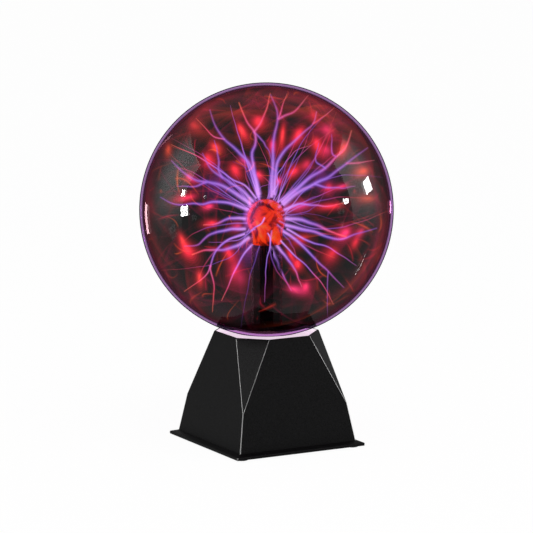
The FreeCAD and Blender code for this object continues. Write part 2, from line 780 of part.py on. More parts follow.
def transformer():
    """Ferrite ring core with a primary on its left leg and a high-voltage coil on its right."""
    low = board_top + d.core_lift
    window_tall = d.core_tall - d.core_leg * 2
    whole = block(d.core_wide, d.core_deep, d.core_tall, (d.core_x, d.core_y, low))
    window = block(
        d.core_wide - d.core_leg * 2,
        d.core_deep * 2,
        window_tall,
        (d.core_x, d.core_y, low + d.core_leg),
    )
    named("transformer_core", cut(whole, window))
    reach = (d.core_wide - d.core_leg) / 2
    coil_low = low + d.core_leg + d.coil_gap
    coil_tall = window_tall - d.coil_gap * 2
    leg_hole = d.core_leg + d.coil_gap * 2
    primary_at = (d.core_x - reach, d.core_y, coil_low)
    primary = rod(d.primary_radius, coil_tall, primary_at)
    named("primary_winding", cut(primary, block(leg_hole, leg_hole, coil_tall, primary_at)))

    x, y = d.core_x + reach, d.core_y
    spool = [rod(d.barrel_radius, coil_tall, (x, y, coil_low))]
    for level in (coil_low, coil_low + coil_tall - d.bobbin_flange):
        spool.append(rod(d.bobbin_radius, d.bobbin_flange, (x, y, level)))
    spool_hole = block(leg_hole, leg_hole, coil_tall, (x, y, coil_low))
    named("transformer_bobbin", cut(fuse(*spool), spool_hole))
    wound_at = (x, y, coil_low + d.bobbin_flange)
    wound_tall = coil_tall - d.bobbin_flange * 2
    winding = rod(d.coil_radius, wound_tall, wound_at)
    named("secondary_winding", cut(winding, rod(d.barrel_radius + 0.02, wound_tall, wound_at)))
    return Vector((x + d.coil_radius).number, y.number, (coil_low + coil_tall / 2).number)


def power_stage():
    """Driver transistor on its finned heatsink."""
    tab_face, y = d.sink_x, d.sink_y
    face = tab_face + d.sink_plate
    screw_level = board_top + d.tab_screw
    fins = [block(d.sink_plate, d.sink_wide, d.sink_tall, (face - d.sink_plate / 2, y, board_top))]
    for step in range(-2, 3):
        at = (face + d.fin_deep / 2 - 0.5, y + d.fin_pitch * step, board_top)
        fins.append(block(d.fin_deep, d.fin_thick, d.sink_tall, at))
    tapped = rod(d.screw_hole, 4.0, (tab_face - 0.5, y, screw_level), axis=(0, 1, 0), turn=90)
    named("heatsink", cut(fuse(*fins), tapped))
    case_level = board_top + d.case_lift
    parts = [
        block(d.case_deep, d.case_wide, d.case_tall, (tab_face - d.case_deep / 2, y, case_level)),
        block(d.tab_thick, d.case_wide, d.tab_tall, (tab_face - d.tab_thick / 2, y, case_level)),
    ]
    for step in (-1, 0, 1):
        leg_at = (tab_face - d.case_deep / 2, y + d.lead_pitch * step, board_top)
        parts.append(block(0.6, 0.8, d.case_lift + 0.5, leg_at))
    hole = rod(1.6, 4.0, (tab_face - 3.0, y, screw_level), axis=(0, 1, 0), turn=90)
    named("power_transistor", cut(fuse(*parts), hole))
    head_at = (tab_face - d.tab_thick, y, screw_level)
    head = rod(d.head_radius, 1.8, head_at, axis=(0, 1, 0), turn=-90)
    shank = rod(1.4, 3.6, head_at, axis=(0, 1, 0), turn=90)
    named("transistor_screw", fuse(head, shank))


# Where the round cans stand: x, y, radius and height.
CANS = ((-31.0, 2.0, 5.0, 12.5), (-19.0, 2.0, 5.0, 12.5), (-31.0, 13.0, 4.0, 11.0))
# Where the film blocks stand: x, y, and their size along X, Y and Z.
FILMS = ((-5.0, 0.0, 13.0, 5.0, 9.0), (-5.0, 8.0, 10.0, 4.0, 8.0), (20.0, -28.0, 8.0, 4.0, 7.0))


def small_parts():
    """The rest of the board: cans, film blocks, resistors, the chip and the microphone."""
    cans = [rod(radius, tall, (x, y, board_top)) for x, y, radius, tall in CANS]
    group("electrolytic_capacitors", *cans)
    films = [block(wide, deep, tall, (x, y, board_top)) for x, y, wide, deep, tall in FILMS]
    group("film_capacitors", *films)
    resistors = []
    for step in range(5):
        at = (8.0 + step * 4.0, 12.0, board_top + 1.3)
        resistors.append(rod(1.2, 7.0, at, axis=(1, 0, 0), turn=-90))
    group("resistors", *resistors)
    chip = [block(9.6, 6.4, 3.3, (8.0, 3.0, board_top + 0.6))]
    for step in range(4):
        for side in (-1, 1):
            leg_at = (d.lead_pitch * (step - 1.5) + 8.0, 3.0 + side * 3.6, board_top)
            chip.append(block(0.5, 0.9, 2.2, leg_at))
    named("driver_chip", fuse(*chip))
    named("microphone", rod(4.8, 6.5, (-8.0, 20.0, board_top)))


# --- Rear panel ---------------------------------------------------------------------------------


def switch_body():
    """Three-position rocker switch, drawn with +Z out of the panel and +Y down the slope."""
    body = new_body("switch_body")
    bezel = new_sketch(body)
    square(bezel, d.switch_wide / 2 + d.bezel_lap, d.switch_long / 2 + d.bezel_lap)
    pad(body, bezel, d.bezel_thick)
    housing = new_sketch(body)
    square(housing, d.switch_wide / 2, d.switch_long / 2)
    pad(body, housing, d.switch_deep, Reversed=True)
    well = new_sketch(body, at=(0, 0, d.bezel_thick))
    square(well, d.well_wide / 2, d.well_long / 2)
    pocket(body, well, d.bezel_thick + d.well_deep)
    bores = new_sketch(body, "YZ_Plane")
    circle(bores, d.pivot_radius + d.pivot_gap, y=-d.pivot_deep)
    pocket(body, bores, d.well_wide + d.pivot_reach * 2 + 0.4, Midplane=True)
    slots = new_sketch(body, at=(0, 0, -d.switch_deep))
    for step in (-1, 0, 1):
        square(
            slots,
            d.blade_wide / 2 + 0.02,
            d.blade_thick / 2 + 0.02,
            y=d.blade_pitch * step,
        )
    pocket(body, slots, d.blade_long / 3, Reversed=True)
    fillet(body, 0.5, lambda edge: abs(edge.CenterOfMass.z - d.bezel_thick.number) < 0.01
           and max(abs(edge.CenterOfMass.x) - d.switch_wide.number / 2,
                   abs(edge.CenterOfMass.y) - d.switch_long.number / 2) > 0.5)
    on_panel(body, -1)


def switch_rocker():
    """The rocker, drawn about its pivot at OFF and leaned over to ON."""
    body = new_body("switch_rocker")
    end = d.rocker_end
    side = new_sketch(body, "YZ_Plane")
    skirt_out = side_of(end, sized(1.6))
    horn_out = side_of(end, d.rocker_horn)
    outline(side, [
        (-skirt_out, -1.6),
        (-2.2, -d.rocker_skirt),
        (2.2, -d.rocker_skirt),
        (skirt_out, -1.6),
        (horn_out, d.rocker_horn),
        (0, d.rocker_crest),
        (-horn_out, d.rocker_horn),
    ], {3: end, 4: Size(-16.0), 5: Size(-16.0), 6: end})
    pad(body, side, d.rocker_wide, Midplane=True)
    pins = new_sketch(body, "YZ_Plane")
    circle(pins, d.pivot_radius)
    pad(body, pins, d.well_wide + d.pivot_reach * 2, Midplane=True)
    on_panel(body, -1, -d.pivot_deep, d.rocker_lean)
    return body


def switch_terminals():
    blades = []
    inside = d.blade_long / 3
    for step in (-1, 0, 1):
        blade = block(
            d.blade_wide,
            d.blade_thick,
            d.blade_long + inside,
            (0, d.blade_pitch * step, -d.switch_deep - d.blade_long),
        )
        blades.append(blade)
    terminals = group("switch_terminals", *blades)
    on_panel(terminals, -1)


def power_inlet():
    """Panel inlet for a 5.5 mm plug: barrel, centre contact, nut and solder lugs."""
    body = turned("dc_jack_body", [
        (0, -d.inlet_deep),
        (d.inlet_radius, -d.inlet_deep),
        (d.inlet_radius, 0),
        (d.inlet_flange, 0),
        (d.inlet_flange, d.inlet_lip),
        (d.socket_radius, d.inlet_lip),
        (d.socket_radius, d.inlet_lip - d.socket_deep),
        (0, d.inlet_lip - d.socket_deep),
    ])
    fillet(body, 0.5, lambda edge: edge.BoundBox.XLength > d.inlet_flange.number * 1.9
           and edge.BoundBox.ZMin > d.inlet_lip.number - 0.01)
    pin_long = d.socket_deep - d.contact_short
    pin = named("dc_jack_pin", rod(d.contact_radius, pin_long, (0, 0, 0)))

    nut = new_body("dc_jack_nut")
    sketch = new_sketch(nut, at=(0, 0, -d.shell_wall))
    across = d.nut_flats / math.sqrt(3)
    corners = []
    for step in range(6):
        angle = math.radians(60 * step)
        corners.append((across * math.cos(angle), across * math.sin(angle)))
    outline(sketch, corners)
    circle(sketch, d.inlet_radius + 0.02)
    pad(nut, sketch, d.nut_thick, Reversed=True)

    lugs = []
    for side in (-1, 1):
        low = -d.inlet_deep - 5.0
        lugs.append(block(2.6, d.blade_thick, 5.0, (0, sized(2.6 * side), low)))
    terminals = group("dc_jack_terminals", *lugs)
    for piece in (body, nut, terminals):
        on_panel(piece, 1)
    on_panel(pin, 1, d.inlet_lip - d.socket_deep)


# --- Wires --------------------------------------------------------------------------------------


def panel_point(side, across, down, out):
    """A point given in the rear panel's own frame."""
    turn = Rotation(Vector(1, 0, 0), panel_turn.number)
    origin = Vector(d.panel_spread.number * side, panel_face.number, d.panel_level.number)
    return origin + turn.multVec(Vector(across, down, out))


def wire_path(points):
    """Straight runs joined by tangent arcs, each as large as its two runs allow."""
    edges, at = [], points[0]
    for before, corner, after in zip(points, points[1:], points[2:]):
        come, leave = (corner - before).normalize(), (after - corner).normalize()
        run = 0.45 * min((corner - before).Length, (after - corner).Length)
        start, stop = corner - come * run, corner + leave * run
        half_turn = come.getAngle(leave) / 2
        bow = (leave - come).normalize() * (run / math.tan(half_turn) * (1 / math.cos(half_turn) - 1))
        edges.append(Part.LineSegment(at, start).toShape())
        edges.append(Part.Arc(start, corner + bow, stop).toShape())
        at = stop
    edges.append(Part.LineSegment(at, points[-1]).toShape())
    return Part.Wire(edges)


def tube(points, radius):
    path = wire_path(points)
    along = points[1] - points[0]
    section = Part.Wire([Part.Circle(points[0], along, radius).toShape()])
    made = path.makePipeShell([section], True, False)
    area = math.pi * radius**2
    if abs(made.Volume - area * path.Length) > 0.02 * made.Volume:
        raise RuntimeError("a wire's volume isn't its section times its length")
    return made


def loose_wires(label, radius, routes):
    """Wires whose routes no primitive fits: their shapes come from Part's own functions."""
    piece = doc.addObject("Part::Feature", label)
    piece.Label = label
    shapes = [tube(points, radius) for points in routes]
    piece.Shape = shapes[0] if len(shapes) == 1 else Part.makeCompound(shapes)
    piece.Placement = Placement()


def wires(coil_side):
    """Every free wire inside, as lists of the points that it turns at."""
    top = fill_end.number - 0.05
    lead_in = coil_side + Vector(0.05, 0, 0)
    loose_wires("high_voltage_lead", d.lead_radius.number, [[
        Vector(0, 0, top),
        Vector(0, 0, 46.0),
        Vector(9.0, 2.0, 36.0),
        Vector(22.0, -9.0, 35.0),
        lead_in + Vector(6.0, 0, 0),
        lead_in,
    ]])
    board = board_top.number + 0.05
    blade_end = -d.switch_deep.number - d.blade_long.number - 0.85
    switch_routes = []
    for step in (-1, 0, 1):
        start = panel_point(-1, 0, d.blade_pitch.number * step, blade_end + 0.75)
        drop = Vector(-24.0 + step * 4.0, start.y - 4.0, start.z - 6.0 - step)
        switch_routes.append([
            start,
            start + (panel_point(-1, 0, 0, -1) - panel_point(-1, 0, 0, 0)) * 4.0,
            drop + Vector(0, -1.0, -2.0),
            Vector(-25.0 + step * 4.0, 21.5, board + 5.0),
            Vector(-25.0 + step * 4.0, 21.5, board),
        ])
    loose_wires("switch_leads", d.wire_radius.number, switch_routes)
    lug_end = -d.inlet_deep.number - 5.05
    inlet_routes = []
    for side in (-1, 1):
        start = panel_point(1, 0, 2.6 * side, lug_end)
        inlet_routes.append([
            start,
            panel_point(1, 0, 2.6 * side, lug_end - 4.5),
            Vector(16.0 + side * 4.0, start.y - 8.0, 30.0),
            Vector(16.0 + side * 4.0, 22.0, board + 4.5),
            Vector(16.0 + side * 4.0, 22.0, board),
        ])
    loose_wires("inlet_leads", d.wire_radius.number, inlet_routes)


# --- Build, check and write ---------------------------------------------------------------------

base_shell()
plinth_plate()
rubber_feet()
base_screws()
seat_plate()
globe_gasket()
glass_globe()
electrode_glass()
electrode_fill()
exhaust_tip()
stem_parts()
neck_collar()
circuit_board()
coil_side = transformer()
power_stage()
small_parts()
switch_body()
switch_rocker()
switch_terminals()
power_inlet()
wires(coil_side)
doc.recompute()

NODES = [
    "base_shell", "plinth_plate", "rubber_feet", "base_screws", "seat_plate",
    "globe_gasket", "glass_globe", "exhaust_tip",
    "electrode_glass", "electrode_fill", "stem_sleeve", "stem_bung", "high_voltage_lead",
    "neck_collar", "silicone_bead", "collar_screws",
    "circuit_board", "board_screws",
    "transformer_core", "transformer_bobbin", "primary_winding", "secondary_winding",
    "power_transistor", "heatsink", "transistor_screw",
    "electrolytic_capacitors", "film_capacitors", "resistors", "driver_chip", "microphone",
    "switch_body", "switch_rocker", "switch_terminals",
    "dc_jack_body", "dc_jack_nut", "dc_jack_pin", "dc_jack_terminals",
    "switch_leads", "inlet_leads",
]

for item in doc.Objects:
    if "Invalid" in item.State or "Error" in item.State:
        raise RuntimeError(f"{item.Label} failed: {item.State}")

os.makedirs("parts", exist_ok=True)
for label in NODES:
    found = [item for item in doc.Objects if item.Label == label]
    if len(found) != 1:
        raise RuntimeError(f"{label} names {len(found)} objects")
    shape = found[0].Shape
    if shape.isNull() or not shape.isValid() or not shape.Solids:
        raise RuntimeError(f"{label} has no valid solid")
    shape.exportStep(f"parts/{label}.step")
    box = shape.BoundBox
    print(f"{label:26s} solids {len(shape.Solids)} volume {shape.Volume / 1000:8.2f} cm3  "
          f"z {box.ZMin:7.2f} to {box.ZMax:7.2f}")
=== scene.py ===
"""Plasma ball: the glass, the streamers and the base's finishes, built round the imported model."""

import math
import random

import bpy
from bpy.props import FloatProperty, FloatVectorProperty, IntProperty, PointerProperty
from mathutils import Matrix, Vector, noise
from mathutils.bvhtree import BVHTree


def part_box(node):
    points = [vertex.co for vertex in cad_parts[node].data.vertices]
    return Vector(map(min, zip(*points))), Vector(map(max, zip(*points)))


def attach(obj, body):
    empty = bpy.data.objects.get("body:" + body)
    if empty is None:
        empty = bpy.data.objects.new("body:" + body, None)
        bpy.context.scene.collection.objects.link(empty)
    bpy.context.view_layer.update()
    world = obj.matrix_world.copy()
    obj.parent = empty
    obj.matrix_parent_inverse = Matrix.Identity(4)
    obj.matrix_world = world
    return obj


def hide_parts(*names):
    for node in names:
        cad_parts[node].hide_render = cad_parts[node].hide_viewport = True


bl_info = {
    "name": "Plasma ball",
    "version": (1, 0, 0),
    "blender": (4, 5, 0),
    "location": "View3D > Sidebar > Plasma ball",
    "description": "Builds the lit globe, its electrode and streamers, and finishes the base",
    "category": "Object",
}

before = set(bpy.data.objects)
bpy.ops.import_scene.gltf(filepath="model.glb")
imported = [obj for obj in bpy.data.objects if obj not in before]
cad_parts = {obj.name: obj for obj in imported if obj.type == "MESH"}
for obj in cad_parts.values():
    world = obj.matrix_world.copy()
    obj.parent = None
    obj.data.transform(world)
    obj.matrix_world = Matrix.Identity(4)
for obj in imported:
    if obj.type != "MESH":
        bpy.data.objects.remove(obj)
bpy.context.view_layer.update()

MM = 0.001

# The globe and the electrode, measured on the frame.
GLOBE_LOW, GLOBE_HIGH = (Vector(corner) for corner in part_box("glass_globe"))
GLOBE_RADIUS = GLOBE_HIGH.x
GLOBE_CENTRE = Vector((0.0, 0.0, GLOBE_HIGH.z - GLOBE_RADIUS))
GLOBE_WALL = 1.8 * MM
NECK_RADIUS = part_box("electrode_glass")[1][0]
STEM_RADIUS = 12.3 * MM
BULB_RADIUS = 15.5 * MM
GAS_ROOM = GLOBE_RADIUS - GLOBE_WALL - 0.6 * MM  # all lit gas stays this near the centre
BULB_CENTRE = Vector((0.0, 0.0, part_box("electrode_glass")[1][2] - BULB_RADIUS))
FILL_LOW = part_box("electrode_fill")[0][2]

# The display side: the lamp is seen from its front left, from a little above.
VIEW_TURN = math.radians(-28.91)
VIEW_DIP = math.radians(9.557)
VIEW_AWAY = 2.581
VIEW_HEIGHT = 0.5751
VIEW_LENS = 224.3
SEEN_RIGHT = Vector((math.cos(VIEW_TURN), math.sin(VIEW_TURN), 0.0))
SEEN_AHEAD = Vector((
    -math.sin(VIEW_TURN) * math.cos(VIEW_DIP),
    math.cos(VIEW_TURN) * math.cos(VIEW_DIP),
    -math.sin(VIEW_DIP),
))
SEEN_UP = SEEN_RIGHT.cross(SEEN_AHEAD)


def linear(code):
    """A colour written as sRGB hex, as linear red, green and blue."""
    channels = [int(code[i:i + 2], 16) / 255 for i in (1, 3, 5)]
    return tuple(c / 12.92 if c <= 0.04045 else ((c + 0.055) / 1.055) ** 2.4 for c in channels)


def rgba(code):
    return (*linear(code), 1.0)


# --- Sizes and colours that a user would change --------------------------------------------------


class PlasmaGlassSettings(bpy.types.PropertyGroup):
    clearness: FloatProperty(
        name="Clearness",
        description="Share of light that one face of the globe's wall lets through",
        default=0.35, min=0.05, max=1.0)
    # The rim colour is a painted glow laid into the wall's reflection.
    rim: FloatVectorProperty(
        name="Rim", description="Colour that the wall shows where it is seen edge on",
        subtype="COLOR", default=linear("#eeb0ff"))
    # The inner wall's colour is a painted glow of the gas in the inner face's reflection.
    inner_glow: FloatVectorProperty(
        name="Inner wall", description="Colour of the gas's light in the inner face",
        subtype="COLOR", default=linear("#8a2040"))


class PlasmaStreamerSettings(bpy.types.PropertyGroup):
    seed: IntProperty(
        name="Seed", description="Number that the loose streamers grow from", default=11)
    loose: IntProperty(
        name="Loose streamers", description="Thin streamers that fill the rest of the globe",
        default=20, min=0)
    curtains: IntProperty(
        name="Curtains", description="Faint strips of gas that stand out from the glass",
        default=180, min=0)
    wisps: IntProperty(
        name="Wisps", description="Short bright threads along the glass", default=110, min=0)
    reach: FloatProperty(
        name="Reach", description="Where streamers end, as a share of the globe's radius",
        default=0.955, min=0.5, max=0.97)
    light: FloatProperty(name="Light", description="Strength of the streamers", default=10.0, min=0)
    root: FloatVectorProperty(
        name="Root", description="Colour beside the electrode",
        subtype="COLOR", default=linear("#d48cff"))
    middle: FloatVectorProperty(
        name="Middle", description="Colour half way out",
        subtype="COLOR", default=linear("#6c46d8"))
    tip: FloatVectorProperty(
        name="Tip", description="Colour at the glass", subtype="COLOR", default=linear("#ff3050"))


class PlasmaBaseSettings(bpy.types.PropertyGroup):
    plastic: FloatVectorProperty(
        name="Plastic", description="Colour of the moulded base",
        subtype="COLOR", default=linear("#121213"))
    grain: FloatProperty(
        name="Grain", description="Size of the moulded texture's grains", unit="LENGTH",
        default=0.7 * MM)


# --- Nodes and meshes ----------------------------------------------------------------------------


def add(tree, kind, inputs=None, **settings):
    """Adds a node. Each input takes a value, or the output socket that feeds it."""
    made = tree.nodes.new("ShaderNode" + kind)
    for name, value in settings.items():
        setattr(made, name, value)
    for name, value in (inputs or {}).items():
        socket = made.inputs[name]
        if isinstance(value, bpy.types.NodeSocket):
            tree.links.new(value, socket)
        else:
            socket.default_value = value
    return made


def ramp(tree, factor, *stops):
    """A colour ramp from (position, colour) stops, in rising order. A colour is hex or linear."""
    made = add(tree, "ValToRGB", {"Fac": factor})
    band = made.color_ramp
    band.elements.remove(band.elements[1])
    for number, (position, colour) in enumerate(stops):
        element = band.elements.new(position) if number else band.elements[0]
        colour = linear(colour) if isinstance(colour, str) else colour
        element.position = position
        element.color = colour if len(colour) == 4 else (*colour, 1.0)
    return made.outputs["Color"]


def grey(level):
    return (level, level, level, 1.0)


def new_material(name):
    """An empty material: its tree and its output's surface socket."""
    material = bpy.data.materials.new(name)
    material.use_nodes = True
    material.node_tree.nodes.clear()
    end = add(material.node_tree, "OutputMaterial")
    return material, material.node_tree, end.inputs["Surface"]


def principled(name, colour, rough, **inputs):
    """A material with one Principled shader, whose plain values are set on its own sockets."""
    material, tree, surface = new_material(name)
    values = {"Base Color": colour, "Roughness": rough}
    values.update({key.replace("_", " ").title(): value for key, value in inputs.items()})
    values = {("IOR" if key == "Ior" else key): value for key, value in values.items()}
    shader = add(tree, "BsdfPrincipled", values)
    tree.links.new(shader.outputs["BSDF"], surface)
    return material, tree, shader


def grain_scale(size):
    """Noise scale whose features are about this size, in metres."""
    return 1.0 / size


def finish(name, colours, rough, grain, depth, stretch=(1, 1, 1), **inputs):
    """An opaque finish whose colour, roughness and height vary over grains of a real size."""
    material, tree, shader = principled(name, rgba(colours[0]), rough[0], **inputs)
    place = add(tree, "TexCoord").outputs["Object"]
    drawn = add(tree, "Mapping", {"Vector": place, "Scale": stretch}).outputs[0]
    grains = add(tree, "TexNoise", {"Vector": drawn, "Scale": grain_scale(grain), "Detail": 4.0,
                                    "Roughness": 0.6}).outputs["Fac"]
    colour = ramp(tree, grains, (0.3, colours[0]), (0.7, colours[1]))
    tree.links.new(colour, shader.inputs["Base Color"])
    dull = add(tree, "MapRange", {"Value": grains, 1: 0.3, 2: 0.7, 3: rough[0], 4: rough[1]})
    tree.links.new(dull.outputs[0], shader.inputs["Roughness"])
    bump = add(tree, "Bump", {"Height": grains, "Strength": 0.5, "Distance": depth})
    tree.links.new(bump.outputs["Normal"], shader.inputs["Normal"])
    return material, tree, shader


def turned_up(tree):
    """1 where a surface faces up, such as the top of a can, and 0 at its sides."""
    normal = add(tree, "NewGeometry").outputs["Normal"]
    height = add(tree, "SeparateXYZ", {0: normal}).outputs["Z"]
    return add(tree, "MapRange", {"Value": height, 1: 0.80, 2: 0.95}).outputs[0]


def new_piece(name, vertices, faces, material, smooth=True, body="base"):
    mesh = bpy.data.meshes.new(name)
    mesh.from_pydata([tuple(v) for v in vertices], [], faces)
    mesh.validate()
    if smooth:
        mesh.shade_smooth()
    mesh.materials.append(material)
    piece = bpy.data.objects.new(name, mesh)
    bpy.context.collection.objects.link(piece)
    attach(piece, body)
    return piece


def finish_node(name, material):
    """Gives a CAD node's slots this material."""
    for material_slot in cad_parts[name].material_slots:
        material_slot.material = material


def coat(names, *look, **more):
    """Gives CAD nodes, named in one string, the same finish."""
    material, tree, shader = finish(*look, **more)
    for name in names.split():
        finish_node(name, material)
    return tree, shader


def spun(profile, steps):
    """Vertices and faces of a half section, (radius, height) points, turned round the Z axis."""
    vertices, rings, faces = [], [], []
    for radius, height in profile:
        if radius < 1e-7:
            rings.append([len(vertices)] * steps)
            vertices.append((0.0, 0.0, height))
            continue
        rings.append([len(vertices) + k for k in range(steps)])
        for k in range(steps):
            angle = 2 * math.pi * k / steps
            vertices.append((radius * math.cos(angle), radius * math.sin(angle), height))
    for low, high in zip(rings, rings[1:]):
        for k in range(steps):
            corners = [low[k], low[(k + 1) % steps], high[(k + 1) % steps], high[k]]
            corners = list(dict.fromkeys(corners))
            if len(corners) > 2:
                faces.append(corners)
    return vertices, faces


def arc(centre_height, radius, start, stop, steps):
    """(radius, height) points along an arc about a point of the axis; angles are from the pole."""
    points = []
    for k in range(steps + 1):
        angle = start + (stop - start) * k / steps
        points.append((radius * math.sin(angle), centre_height + radius * math.cos(angle)))
    return points


# --- Globe ---------------------------------------------------------------------------------------


def edge_on(tree):
    """How far a surface is turned edge on, 0 to 1, and the share that clear glass mirrors there."""
    turned = add(tree, "LayerWeight", {"Blend": 0.5}).outputs["Facing"]
    steep = add(tree, "Math", {0: turned, 1: 3.0}, operation="POWER").outputs[0]
    return turned, add(tree, "MapRange", {"Value": steep, 3: 0.04, 4: 1.0}).outputs[0]


def glass_material(name, clearness, rough, *gloss_stops):
    """Clear glass whose two faces are separate surfaces: it lets a share of the light straight
    through, and mirrors the rest in a colour that depends on how edge on it is seen."""
    material, tree, surface = new_material(name)
    turned, mirrored = edge_on(tree)
    clear = add(tree, "BsdfTransparent", {"Color": clearness})
    # The gloss colour is painted light: a painted glow and painted shade in the reflection, by how
    # edge on the glass is seen.
    painted_light_tint = ramp(tree, turned, *gloss_stops)
    gloss = add(tree, "BsdfAnisotropic", {"Roughness": rough, "Color": painted_light_tint})
    mix = add(tree, "MixShader", {0: mirrored, 1: clear.outputs["BSDF"], 2: gloss.outputs["BSDF"]})
    tree.links.new(mix.outputs["Shader"], surface)
    return material


class PLASMA_OT_globe(bpy.types.Operator):
    """Blows the outer globe: one wall of glass from the crown to the end of the neck"""
    bl_idname = "plasma.globe"
    bl_label = "Globe"

    def execute(self, context):
        settings = context.scene.plasma_glass
        rim = tuple(settings.rim)
        clearness = grey(settings.clearness)
        # Blown soda-lime glass, dulled by the gas's afterglow. Its reflection carries painted
        # light:
        # a painted lavender glow where the wall is seen edge on, inside a painted thin dark
        # outline, and on the inner face a painted red glow of the gas.
        outer = glass_material(
            "blown glass, outer face", clearness, 0.0,
            (0.0, grey(0.22)), (0.55, grey(0.16)), (0.77, "#50182c"), (0.80, rim), (0.875, rim),
            (0.89, "#160e38"))
        inner = glass_material(
            "blown glass, inner face", clearness, 0.0,
            (0.0, grey(0.22)), (0.35, "#602030"), (0.65, tuple(settings.inner_glow)),
            (1.0, "#501030"))
        inner_radius, neck_inner = GLOBE_RADIUS - GLOBE_WALL, NECK_RADIUS - GLOBE_WALL
        around, down = 160, 96
        outside, inside = (
            arc(GLOBE_CENTRE.z, ball, 0, math.pi - math.asin(tube / ball), down)
            for ball, tube in ((GLOBE_RADIUS, NECK_RADIUS), (inner_radius, neck_inner)))
        neck = [(NECK_RADIUS, GLOBE_LOW.z), (neck_inner, GLOBE_LOW.z)]
        vertices, faces = spun(outside + neck + inside[::-1], around)
        globe = new_piece("globe", vertices, faces, outer)
        globe.data.materials.append(inner)
        for face in globe.data.polygons:
            out = face.center - GLOBE_CENTRE
            if out.dot(face.normal) < 0 and out.length < GLOBE_RADIUS - GLOBE_WALL / 2:
                face.material_index = 1
        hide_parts("glass_globe")
        finish_node("exhaust_tip", outer)
        return {"FINISHED"}


# --- Electrode -----------------------------------------------------------------------------------


class PLASMA_OT_electrode(bpy.types.Operator):
    """Fills the electrode's bulb with glowing mesh and finishes its glass and stem"""
    bl_idname = "plasma.electrode"
    bl_label = "Electrode"

    def execute(self, context):
        # Polished glass; the pink at its edge is a painted glow in its reflection.
        glass = glass_material(
            "polished glass, electrode", grey(0.85), 0.03, (0.0, grey(1.0)), (1.0, "#ffb0d0"))
        finish_node("electrode_glass", glass)

        # Crumpled copper mesh behind glass, lit by the discharge: orange-red with dark folds.
        mesh_light, tree, shader = principled("crumpled copper mesh, glowing", rgba("#401005"), 0.5)
        place = add(tree, "TexCoord").outputs["Object"]
        folds = add(tree, "TexNoise", {
            "Vector": place, "Scale": grain_scale(13 * MM), "Detail": 2.5, "Roughness": 0.55,
            "Distortion": 1.2}).outputs["Fac"]
        colour = ramp(tree, folds, (0.34, "#4a0c02"), (0.44, "#b01e06"),
                      (0.51, "#ff3410"), (0.60, "#ff4414"), (0.75, "#ff7030"))
        tree.links.new(colour, shader.inputs["Emission Color"])
        shader.inputs["Emission Strength"].default_value = 8.5
        vertices, faces = electrode_fill_shape()
        fill = new_piece("electrode_mesh", vertices, faces, mesh_light)
        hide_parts("electrode_fill")

        # The discharge's own glow clings to the bulb in pink, most on one side.
        sheath = Glow()
        levels = 7
        for level in range(levels):
            radius = BULB_RADIUS * (1.02 + 0.035 * level)
            profile = arc(BULB_CENTRE.z, radius, 0, math.radians(150), 24)
            first = len(sheath.vertices)
            vertices, faces = spun(profile, 48)
            for vertex in vertices:
                out = (Vector(vertex) - BULB_CENTRE).normalized()
                side = max(0.0, -out.dot(SEEN_RIGHT)) ** 1.5
                low = min(1.0, max(0.0, 1.3 + 1.5 * out.z))
                sheath.note(vertex, 0.0, 0.0, (0.04 + side) * low, level / (levels - 1))
            sheath.faces += [tuple(first + k for k in face) for face in faces]
        haze = sheath.piece("bulb_sheath", gas_material(
            "ionised gas, sheath of the bulb",
            lambda tree: ramp(tree, noted(tree, "core"), (0.0, "#ff5a80"), (1.0, "#8040c0")),
            0.6))

        # Extruded silicone: near black and matt, with faint draw lines along the stem.
        coat("stem_sleeve", "extruded silicone, black", ("#040405", "#0c0c0e"), (0.45, 0.65),
             0.8 * MM, 0.01 * MM, stretch=(1, 1, 0.1))
        return {"FINISHED"}


def electrode_fill_shape():
    """The filling's outline: a ball that draws in to the stem, with a crumpled skin."""
    skin = 0.1 * MM
    bulb, stem = BULB_RADIUS - skin, STEM_RADIUS - skin
    profile = arc(BULB_CENTRE.z, bulb, 0, math.radians(110), 40)
    waist_start = profile[-1]
    low, rings = FILL_LOW + 0.2 * MM, 15
    for k in range(1, rings + 1):
        share = k / rings
        ease = share * (2 - share)
        radius = waist_start[0] + (stem - waist_start[0]) * ease
        profile.append((radius, waist_start[1] + (low - waist_start[1]) * share))
    profile += [(stem * 0.6, low), (0.0, low)]
    vertices, faces = spun(profile, 72)
    crumpled = []
    for vertex in vertices:
        point = Vector(vertex)
        out = Vector((point.x, point.y, max(0.0, point.z - BULB_CENTRE.z)))
        dent = noise.fractal(point / (4 * MM), 0.6, 2.0, 4) * 0.30 * MM - 0.25 * MM
        crumpled.append(point + (out.normalized() * dent if out.length > 1e-6 else Vector()))
    return crumpled, faces


# --- Streamers -----------------------------------------------------------------------------------

